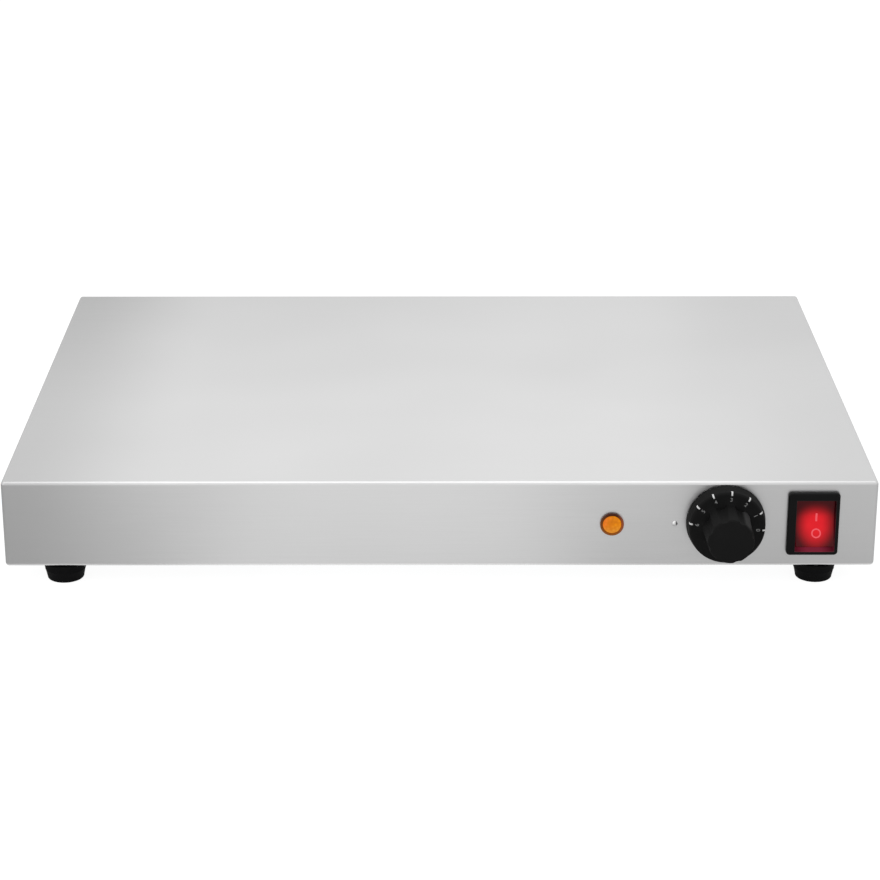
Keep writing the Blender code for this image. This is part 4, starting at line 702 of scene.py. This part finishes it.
OPENING = (0.0226, 0.0314)
WELL_DEPTH = 0.017
CASE_DEPTH = HOUSING_HIGH.y - FRONT
FRAME_SIZE = (0.0296, 0.0025, 0.0382)
LUG_SIZE = (0.012, 0.005, 0.0018)
LIP_SLOPE = 0.0007
FRAME_CENTRE = (ROCKER.x - 0.0014, FRONT - 0.0003 - FRAME_SIZE[1] / 2, ROCKER.z + 0.0012)


def runs_along(edge, axis):
    """Whether the edge runs along that axis, 0 to 2."""
    way = edge.verts[1].co - edge.verts[0].co
    return abs(way[axis]) > 0.99 * way.length


def mould_edges(obj, width, segments):
    """Rounds the sharp edges of a moulding a little, and keeps its flat faces flat."""
    lip = obj.modifiers.new("moulded_edges", "BEVEL")
    lip.width = width
    lip.segments = segments
    lip.limit_method = "ANGLE"
    lip.angle_limit = math.radians(50)
    obj.modifiers.new("flat_faces", "WEIGHTED_NORMAL").keep_sharp = True


# Black nylon: moulded, glossier than the knob, with a faint unevenness of its flow, 6 mm across. The
# walls of the switch's well are polished, and glow a dull mauve where the lit rocker shines on them.
nylon, tree, place = new_material("moulded_black_nylon")
flow = add_node(tree, "ShaderNodeTexNoise", {"Vector": place, "Scale": 1000 / 6, "Detail": 2.0}).outputs[0]
shade = add_node(tree, "ShaderNodeMix", {
    0: flow, 6: colour("#090909"), 7: colour("#0F0F10")}, data_type="RGBA").outputs[2]
blur = add_node(tree, "ShaderNodeMapRange", {0: flow, 1: 0.3, 2: 0.7, 3: 0.30, 4: 0.42}).outputs[0]
offset = add_node(tree, "ShaderNodeVectorMath", {0: place, 1: ROCKER}, operation="SUBTRACT").outputs[0]
drop = add_node(tree, "ShaderNodeSeparateXYZ", {0: offset}).outputs["Z"]
offset = add_node(tree, "ShaderNodeVectorMath", {0: offset}, operation="ABSOLUTE").outputs[0]
offset = add_node(tree, "ShaderNodeSeparateXYZ", {0: offset}).outputs
within_x = add_node(tree, "ShaderNodeMath", {
    0: offset["X"], 1: OPENING[0] / 2 + 0.0001}, operation="LESS_THAN").outputs[0]
within_z = add_node(tree, "ShaderNodeMath", {
    0: offset["Z"], 1: OPENING[1] / 2 + 0.0001}, operation="LESS_THAN").outputs[0]
near = add_node(tree, "ShaderNodeMapRange", {
    0: offset["X"], 1: 0.0040, 2: 0.0115, 3: 1.0, 4: 0.25}).outputs[0]
low_down = add_node(tree, "ShaderNodeMapRange", {
    0: drop, 1: -0.0150, 2: 0.0060, 3: 1.0, 4: 0.1}).outputs[0]
polish = add_node(tree, "ShaderNodeMath", {0: within_x, 1: within_z}, operation="MULTIPLY").outputs[0]
shine = add_node(tree, "ShaderNodeMapRange", {0: polish, 3: 0.12, 4: 0.6}).outputs[0]
spill = add_node(tree, "ShaderNodeMath", {0: near, 1: low_down}, operation="MULTIPLY").outputs[0]
spill = add_node(tree, "ShaderNodeMath", {0: spill, 1: polish}, operation="MULTIPLY").outputs[0]
mauve = add_node(tree, "ShaderNodeMix", {
    0: spill, 6: colour("#000000"), 7: colour("#742032")}, data_type="RGBA").outputs[2]
shader = add_node(tree, "ShaderNodeBsdfPrincipled", {
    "Base Color": shade, "Roughness": blur, "Specular IOR Level": shine,
    "Emission Color": mauve, "Emission Strength": 1.0})
add_node(tree, "ShaderNodeOutputMaterial", {"Surface": shader.outputs[0]})

bm = block(FRAME_SIZE, FRAME_CENTRE)
soften(bm, 0.0022, 8, lambda edge: runs_along(edge, 1))
front_y = min(vertex.co.y for vertex in bm.verts)
soften(bm, 0.0009, 5, lambda edge: all(vertex.co.y < front_y + 1e-6 for vertex in edge.verts))
housing = piece("switch_case", bm, nylon)
middle = ROCKER + Vector((0, (CASE_DEPTH - SHEET) / 2, 0))
case = piece("case", block((CASE[0], CASE_DEPTH + SHEET, CASE[1]), middle))
lugs = []
for side in (-1, 1):
    edge_z = side * CASE[1] / 2
    lug = block(LUG_SIZE, ROCKER + Vector((0, SHEET + GAP + LUG_SIZE[1] / 2, edge_z)))
    lip = [vertex for vertex in lug.verts
           if vertex.co.y > FRONT + 0.004 and side * (vertex.co.z - ROCKER.z) > CASE[1] / 2]
    bmesh.ops.translate(lug, vec=(0, 0, -side * LIP_SLOPE), verts=lip)
    lugs.append(piece("lug", lug))
shaped(housing, "UNION", [case, *lugs])
middle = ROCKER + Vector((0, (WELL_DEPTH - 0.005) / 2, 0))
well = block((OPENING[0], WELL_DEPTH + 0.005, OPENING[1]), middle)
soften(well, 0.0006, 4, lambda edge: runs_along(edge, 1))
tools = [piece("well", well)]
reach = OPENING[0] / 2 + 0.0012
outline = [(0, -reach), (0.0018, -reach), (0.0018, reach), (0, reach)]
seat = Matrix.Translation(ROCKER_TILT) @ Matrix.Rotation(math.pi / 2, 4, "Y")
tools.append(piece("pivot_holes", spun(outline, 32, seat)))
for name in ("line_in", "line_out", "neutral_in", "neutral_out"):
    low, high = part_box("switch_terminal_" + name)
    grown = Vector((GAP, GAP, GAP))
    tools.append(piece("slot", block(high - low + 2 * grown, (low + high) / 2)))
shaped(housing, "DIFFERENCE", tools)
mould_edges(housing, 0.00025, 3)
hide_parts("switch_housing")


# The rocker: clear red polycarbonate in one moulding with its pivot stubs, with a neon behind it.
# Its upper half is pressed in at rest, and the I and O marks are printed pale on its two faces.

ROCKER_RADIUS = 0.0151
ROCKER_SEAT = Matrix.Translation(ROCKER_TILT) @ Matrix.Rotation(math.radians(-10), 4, "X")
TIP_ANGLE = 27
tip_y = -ROCKER_RADIUS * math.sin(math.radians(TIP_ANGLE))
tip_z = ROCKER_RADIUS * math.cos(math.radians(TIP_ANGLE))
FACE_SLOPE = math.radians(10)
middle_y = tip_y + tip_z * math.tan(FACE_SLOPE)
LAMP_CENTRE = ROCKER_SEAT @ Vector((0.0002, -0.005, -0.0010))

# Red polycarbonate over a lit neon: bright red in the middle, falling to a dark wine red at its
# edges, and darker still at the pressed-in upper end, where painted shade stands in for the frame's
# shadow. The glow is about 20 mm across.
red, tree, place = new_material("lit_red_polycarbonate")
offset = add_node(tree, "ShaderNodeVectorMath", {0: place, 1: LAMP_CENTRE}, operation="SUBTRACT").outputs[0]
offset = add_node(tree, "ShaderNodeVectorMath", {
    0: offset, 1: (1 / 0.0112, 0.0, 1 / 0.0142)}, operation="MULTIPLY").outputs[0]
away = add_node(tree, "ShaderNodeVectorMath", {0: offset}, operation="LENGTH").outputs["Value"]
glow = add_node(tree, "ShaderNodeMapRange", {
    0: away, 1: 0.25, 2: 1.15, 3: 1.0, 4: 0.0}, interpolation_type="SMOOTHSTEP").outputs[0]
# Painted shade: the glow dims towards the pressed-in upper end, for the shadow of the frame's top.
top_shade = add_node(tree, "ShaderNodeSeparateXYZ", {0: place}).outputs["Z"]
top_shade = add_node(tree, "ShaderNodeMapRange", {
    0: top_shade, 1: ROCKER_TILT.z + 0.0050, 2: ROCKER_TILT.z + 0.0135, 3: 1.0, 4: 0.08}).outputs[0]
glow = add_node(tree, "ShaderNodeMath", {0: glow, 1: top_shade}, operation="MULTIPLY").outputs[0]
glass = add_node(tree, "ShaderNodeTexNoise", {"Vector": place, "Scale": 1000 / 4, "Detail": 1.0}).outputs[0]
core = add_node(tree, "ShaderNodeMix", {
    0: glass, 6: colour("#E01824"), 7: colour("#F01E28")}, data_type="RGBA").outputs[2]
warm = add_node(tree, "ShaderNodeMix", {0: glow, 6: colour("#2C0407"), 7: core}, data_type="RGBA").outputs[2]
shader = add_node(tree, "ShaderNodeBsdfPrincipled", {
    "Base Color": colour("#3A0206"), "Roughness": 0.25, "Specular IOR Level": 0.15,
    "Emission Color": warm, "Emission Strength": 0.88})
add_node(tree, "ShaderNodeOutputMaterial", {"Surface": shader.outputs[0]})

end = [(-ROCKER_RADIUS * math.sin(math.radians(a)), ROCKER_RADIUS * math.cos(math.radians(a)))
       for a in range(TIP_ANGLE, -23, -7)]
end.append((0.009, 0.005))
outline = [(middle_y, 0), *end, *((y, -z) for y, z in reversed(end))]
WIDTH = OPENING[0] - 0.0008
bm = bmesh.new()
side = [bm.verts.new((-WIDTH / 2, y, z)) for y, z in outline]
cheek = bm.faces.new(side)
moved = bmesh.ops.extrude_face_region(bm, geom=[cheek])["geom"]
moved = [item for item in moved if isinstance(item, bmesh.types.BMVert)]
bmesh.ops.translate(bm, vec=(WIDTH, 0, 0), verts=moved)
bmesh.ops.recalc_face_normals(bm, faces=bm.faces)


def on_front(edge):
    """Whether the edge borders one of the rocker's two front faces and turns a corner."""
    ahead = any(vertex.co.y < tip_y + 0.0026 for vertex in edge.verts)
    return ahead and edge.calc_face_angle() > math.radians(30)


soften(bm, 0.0007, 5, on_front)
bmesh.ops.transform(bm, matrix=ROCKER_SEAT, verts=bm.verts)
rocker = piece("rocker_button", bm, red, "rocker")
reach = OPENING[0] / 2 + 0.0009
outline = [
    (0, -reach), (0.0013, -reach), (0.0015, 0.0002 - reach),
    (0.0015, reach - 0.0002), (0.0013, reach), (0, reach),
]
stubs = piece("stubs", spun(outline, 32, ROCKER_SEAT @ Matrix.Rotation(math.pi / 2, 4, "Y")))
shaped(rocker, "UNION", [stubs])
rocker.modifiers.new("flat_faces", "WEIGHTED_NORMAL").keep_sharp = True
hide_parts("switch_rocker")

# Pale marking ink over the lit red: it shows a little lighter and pinker than the red round it.
pink, tree, place = new_material("pale_pad_print_lit_from_behind")
wear = add_node(tree, "ShaderNodeTexNoise", {"Vector": place, "Scale": 1000 / 0.6, "Detail": 2.0}).outputs[0]
shade = add_node(tree, "ShaderNodeMix", {
    0: wear, 6: colour("#E2444E"), 7: colour("#F06A72")}, data_type="RGBA").outputs[2]
shader = add_node(tree, "ShaderNodeBsdfPrincipled", {
    "Base Color": colour("#5A2024"), "Roughness": 0.4, "Specular IOR Level": 0.15,
    "Emission Color": shade, "Emission Strength": 0.95})
add_node(tree, "ShaderNodeOutputMaterial", {"Surface": shader.outputs[0]})

MARK_OFFSET = 0.0007
STROKE = 0.0011
RING_INNER, RING_OUTER = 0.0020, 0.0028


def rocker_face(side, height):
    """The place on the upper or lower front face that is that far from the middle line."""
    slope = side * FACE_SLOPE
    return (
        ROCKER_SEAT @ Matrix.Translation((0, middle_y, 0)) @ Matrix.Rotation(slope, 4, "X")
        @ Matrix.Translation((MARK_OFFSET, 0, side * height)) @ TO_FRONT
    )


bm = block((STROKE, 0.0050, INK))
soften(bm, 0.0004, 4, lambda edge: runs_along(edge, 2))
seat = rocker_face(1, 0.0034) @ Matrix.Translation((0, 0, INK / 2))
bmesh.ops.transform(bm, matrix=seat, verts=bm.verts)
mark = piece("mark_on", bm, pink, "rocker")
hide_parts("switch_rocker")
outline = [(RING_INNER, 0), (RING_OUTER, 0), (RING_OUTER, INK), (RING_INNER, INK), (RING_INNER, 0)]
mark = piece("mark_off", spun(outline, 48, rocker_face(-1, 0.0061)), pink, "rocker")
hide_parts("switch_rocker")


# The appliance inlet in the back skirt: a black phenolic socket with a rounded flange and snap lugs.
# Three nickelled brass pins stand in it, the middle one for earth.

INLET_LOW, INLET_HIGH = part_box("inlet_body")
FLANGE = (0.031, 0.0025, 0.024)
SOCKET = (0.0235, 0.0165)
SOCKET_DEPTH = 0.0195
bm = block(FLANGE, (INLET.x, INLET_HIGH.y - FLANGE[1] / 2, INLET.z))
soften(bm, 0.002, 8, lambda edge: runs_along(edge, 1))
soften(bm, 0.0006, 4, lambda edge: all(vertex.co.y > INLET_HIGH.y - 1e-6 for vertex in edge.verts))
inlet = piece("inlet_socket", bm, phenolic)
case_depth = INLET_HIGH.y - 0.001 - INLET_LOW.y
case = block((INLET_CASE[0], case_depth, INLET_CASE[1]), (INLET.x, INLET_LOW.y + case_depth / 2, INLET.z))
joined = [piece("case", case)]
for side in (-1, 1):
    centre = (INLET.x, BACK - SHEET - GAP - LUG_SIZE[1] / 2, INLET.z + side * INLET_CASE[1] / 2)
    joined.append(piece("lug", block(LUG_SIZE, centre)))
shaped(inlet, "UNION", joined)
socket = block(
    (SOCKET[0], SOCKET_DEPTH + 0.001, SOCKET[1]),
    (INLET.x, INLET_HIGH.y - SOCKET_DEPTH + (SOCKET_DEPTH + 0.001) / 2, INLET.z),
)
soften(socket, 0.004, 1, lambda edge: runs_along(edge, 1) and edge.verts[0].co.z > INLET.z)
soften(socket, 0.0006, 3, lambda edge: runs_along(edge, 1) and edge.verts[0].co.z < INLET.z)
tools = [piece("socket", socket)]
for name in ("line", "neutral", "earth"):
    low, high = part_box("inlet_pin_" + name)
    size = (high.x - low.x + 2 * GAP, 0.008, high.z - low.z + 2 * GAP)
    slot = block(size, ((low.x + high.x) / 2, INLET_LOW.y, (low.z + high.z) / 2))
    tools.append(piece("slot", slot))
shaped(inlet, "DIFFERENCE", tools)
mould_edges(inlet, 0.0002, 2)
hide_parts("inlet_body")

# Nickelled brass: a bright, slightly yellow grey, rubbed along the pin where a plug slides, with
# rub lines 0.3 mm apart.
nickel, tree, place = new_material("nickelled_brass")
rubbing_and_sheen = add_node(tree, "ShaderNodeMapping", {
    "Vector": place, "Scale": (1000 / 0.3, 1000 / 8, 1000 / 0.3)}).outputs[0]
lines = add_node(tree, "ShaderNodeTexNoise", {"Vector": rubbing_and_sheen, "Scale": 1.0, "Detail": 2.0}).outputs[0]
shade = add_node(tree, "ShaderNodeMix", {
    0: lines, 6: colour("#BDB7A2"), 7: colour("#D8D4C6")}, data_type="RGBA").outputs[2]
blur = add_node(tree, "ShaderNodeMapRange", {0: lines, 3: 0.16, 4: 0.34}).outputs[0]
shader = add_node(tree, "ShaderNodeBsdfPrincipled", {"Base Color": shade, "Metallic": 1.0, "Roughness": blur})
add_node(tree, "ShaderNodeOutputMaterial", {"Surface": shader.outputs[0]})
for name in ("line", "neutral", "earth"):
    low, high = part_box("inlet_pin_" + name)
    bm = block(high - low, (low + high) / 2)
    tip = [vertex for vertex in bm.verts if vertex.co.y > (low.y + high.y) / 2]
    soften(bm, 0.0006, 3, lambda edge: all(vertex in tip for vertex in edge.verts))
    soften(bm, 0.00025, 2, lambda edge: runs_along(edge, 1))
    pin = piece(f"inlet_{name}_blade", bm, nickel)
    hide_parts("inlet_pin_" + name)


# The base and what it encloses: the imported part's own solids show here, each in its real finish.
# The base plate, insulation tray, clamp bars and thermostat's plate are galvanised, and the heat
# spreader over the element is aluminium.

# Hot-dip galvanised steel: a dull grey mirror broken up in crystals, 7 mm across.
galvanised, tree, place = new_material("galvanised_steel_sheet")
crystals = add_node(tree, "ShaderNodeTexVoronoi", {"Vector": place, "Scale": 1000 / 7}).outputs["Color"]
facing = add_node(tree, "ShaderNodeSeparateColor", {0: crystals}).outputs[0]
shade = add_node(tree, "ShaderNodeMix", {
    0: facing, 6: colour("#A2A7AB"), 7: colour("#C3C6C8")}, data_type="RGBA").outputs[2]
blur = add_node(tree, "ShaderNodeMapRange", {0: facing, 3: 0.34, 4: 0.52}).outputs[0]
shader = add_node(tree, "ShaderNodeBsdfPrincipled", {"Base Color": shade, "Metallic": 1.0, "Roughness": blur})
add_node(tree, "ShaderNodeOutputMaterial", {"Surface": shader.outputs[0]})

# Mill-finish aluminium: pale and soft, with rolling lines 0.8 mm apart along the sheet.
aluminium, tree, place = new_material("mill_finish_aluminium")
rolled = add_node(tree, "ShaderNodeMapping", {
    "Vector": place, "Scale": (1000 / 90, 1000 / 0.8, 1000 / 0.8)}).outputs[0]
lines = add_node(tree, "ShaderNodeTexNoise", {"Vector": rolled, "Scale": 1.0, "Detail": 2.0}).outputs[0]
shade = add_node(tree, "ShaderNodeMix", {
    0: lines, 6: colour("#CDCFD1"), 7: colour("#E2E3E4")}, data_type="RGBA").outputs[2]
blur = add_node(tree, "ShaderNodeMapRange", {0: lines, 3: 0.30, 4: 0.46}).outputs[0]
shader = add_node(tree, "ShaderNodeBsdfPrincipled", {"Base Color": shade, "Metallic": 1.0, "Roughness": blur})
add_node(tree, "ShaderNodeOutputMaterial", {"Surface": shader.outputs[0]})

# The element's sheath, oxidised by heat: a dark green-grey with brown patches, 12 mm across.
sheath = speckled("oxidised_element_sheath", 12, 4.0, "#3E4240", "#6E5E50", (0.42, 0.62), 1.0)

# Half-hard brass strip: yellow, stamped, with slight brown tarnish in patches of 3 mm.
brass = speckled("stamped_brass", 3, 3.0, "#C9A052", "#DDBB72", (0.24, 0.40), 1.0)

# Drawn copper tube of the sensor: red-brown and soft, darkened in patches of 6 mm.
copper = speckled("drawn_copper_tube", 6, 3.0, "#A85E3E", "#D08A66", (0.26, 0.42), 1.0)

# Unglazed steatite: off-white, matt and faintly speckled at 0.5 mm.
ceramic = speckled("unglazed_steatite", 0.5, 2.0, "#DDD8CB", "#EFEBE0", 0.7)

# The thermostat's case, moulded in dark grey polyester with a mould grain of 0.5 mm.
polyester = speckled("moulded_grey_polyester", 0.5, 2.0, "#3A3B3E", "#46474A", 0.5)

# Pressed mineral fibre: a straw-coloured felt whose fibres lie flat, drawn 1 mm coarse.
fibre, tree, place = new_material("pressed_mineral_fibre")
laid = add_node(tree, "ShaderNodeMapping", {
    "Vector": place, "Scale": (1000 / 4, 1000 / 1, 1000 / 0.5)}).outputs[0]
fibres = add_node(tree, "ShaderNodeTexNoise", {"Vector": laid, "Scale": 1.0, "Detail": 5.0}).outputs[0]
shade = add_node(tree, "ShaderNodeMix", {
    0: fibres, 6: colour("#C3B58F"), 7: colour("#EFE6C8")}, data_type="RGBA").outputs[2]
bumps = add_node(tree, "ShaderNodeBump", {"Strength": 0.6, "Distance": 0.0003, "Height": fibres}).outputs[0]
shader = add_node(tree, "ShaderNodeBsdfPrincipled", {
    "Base Color": shade, "Roughness": 0.95, "Sheen Weight": 0.2, "Normal": bumps})
add_node(tree, "ShaderNodeOutputMaterial", {"Surface": shader.outputs[0]})


# The wires: heat-resistant silicone sleeving over stranded copper, in the three mains colours.
# The earth wire is green with yellow stripes that wind round it.

sleeves = {}
for name, dark, light, width in (
    ("brown", "#57301C", "#6E4028", 3),
    ("blue", "#1C4E96", "#2C66B8", 3),
    ("green_yellow", "#2E7D32", "#E2CF2A", 5),
):
    sleeve, tree, place = new_material(f"{name}_silicone_sleeve")
    if name == "green_yellow":
        pattern = add_node(tree, "ShaderNodeTexWave", {
            "Vector": place, "Scale": 1000 / width / 6, "Distortion": 0.5,
        }, bands_direction="DIAGONAL").outputs["Fac"]
        pattern = add_node(tree, "ShaderNodeMath", {0: pattern, 1: 0.6}, operation="GREATER_THAN").outputs[0]
    else:
        pattern = add_node(tree, "ShaderNodeTexNoise", {"Vector": place, "Scale": 1000 / width}).outputs[0]
    shade = add_node(tree, "ShaderNodeMix", {
        0: pattern, 6: colour(dark), 7: colour(light)}, data_type="RGBA").outputs[2]
    shader = add_node(tree, "ShaderNodeBsdfPrincipled", {"Base Color": shade, "Roughness": 0.4})
    add_node(tree, "ShaderNodeOutputMaterial", {"Surface": shader.outputs[0]})
    sleeves[name] = sleeve


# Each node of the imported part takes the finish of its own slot, hidden ones too.

SHEET_STEEL = ("base_plate", "insulation_tray", "clamp_bar_left", "clamp_bar_right", "thermostat_plate")
finishes = {
    "stainless": steel, "zinc_steel": zinc, "aluminium": aluminium, "element_sheath": sheath,
    "brass": brass, "copper": copper, "rubber": rubber, "black_plastic": nylon, "lamp_bezel": bezel,
    "amber_lens": amber, "red_lens": red, "ceramic": ceramic, "mineral_fibre": fibre,
    "thermostat_case": polyester, "wire_brown": sleeves["brown"], "wire_blue": sleeves["blue"],
    "wire_green_yellow": sleeves["green_yellow"],
}
for part in frame["record"]["subparts"]:
    node = nodes[part["node"]]
    node.data.materials.clear()
    finish = galvanised if part["node"] in SHEET_STEEL else finishes[part["material_slot"]]
    node.data.materials.append(finish)
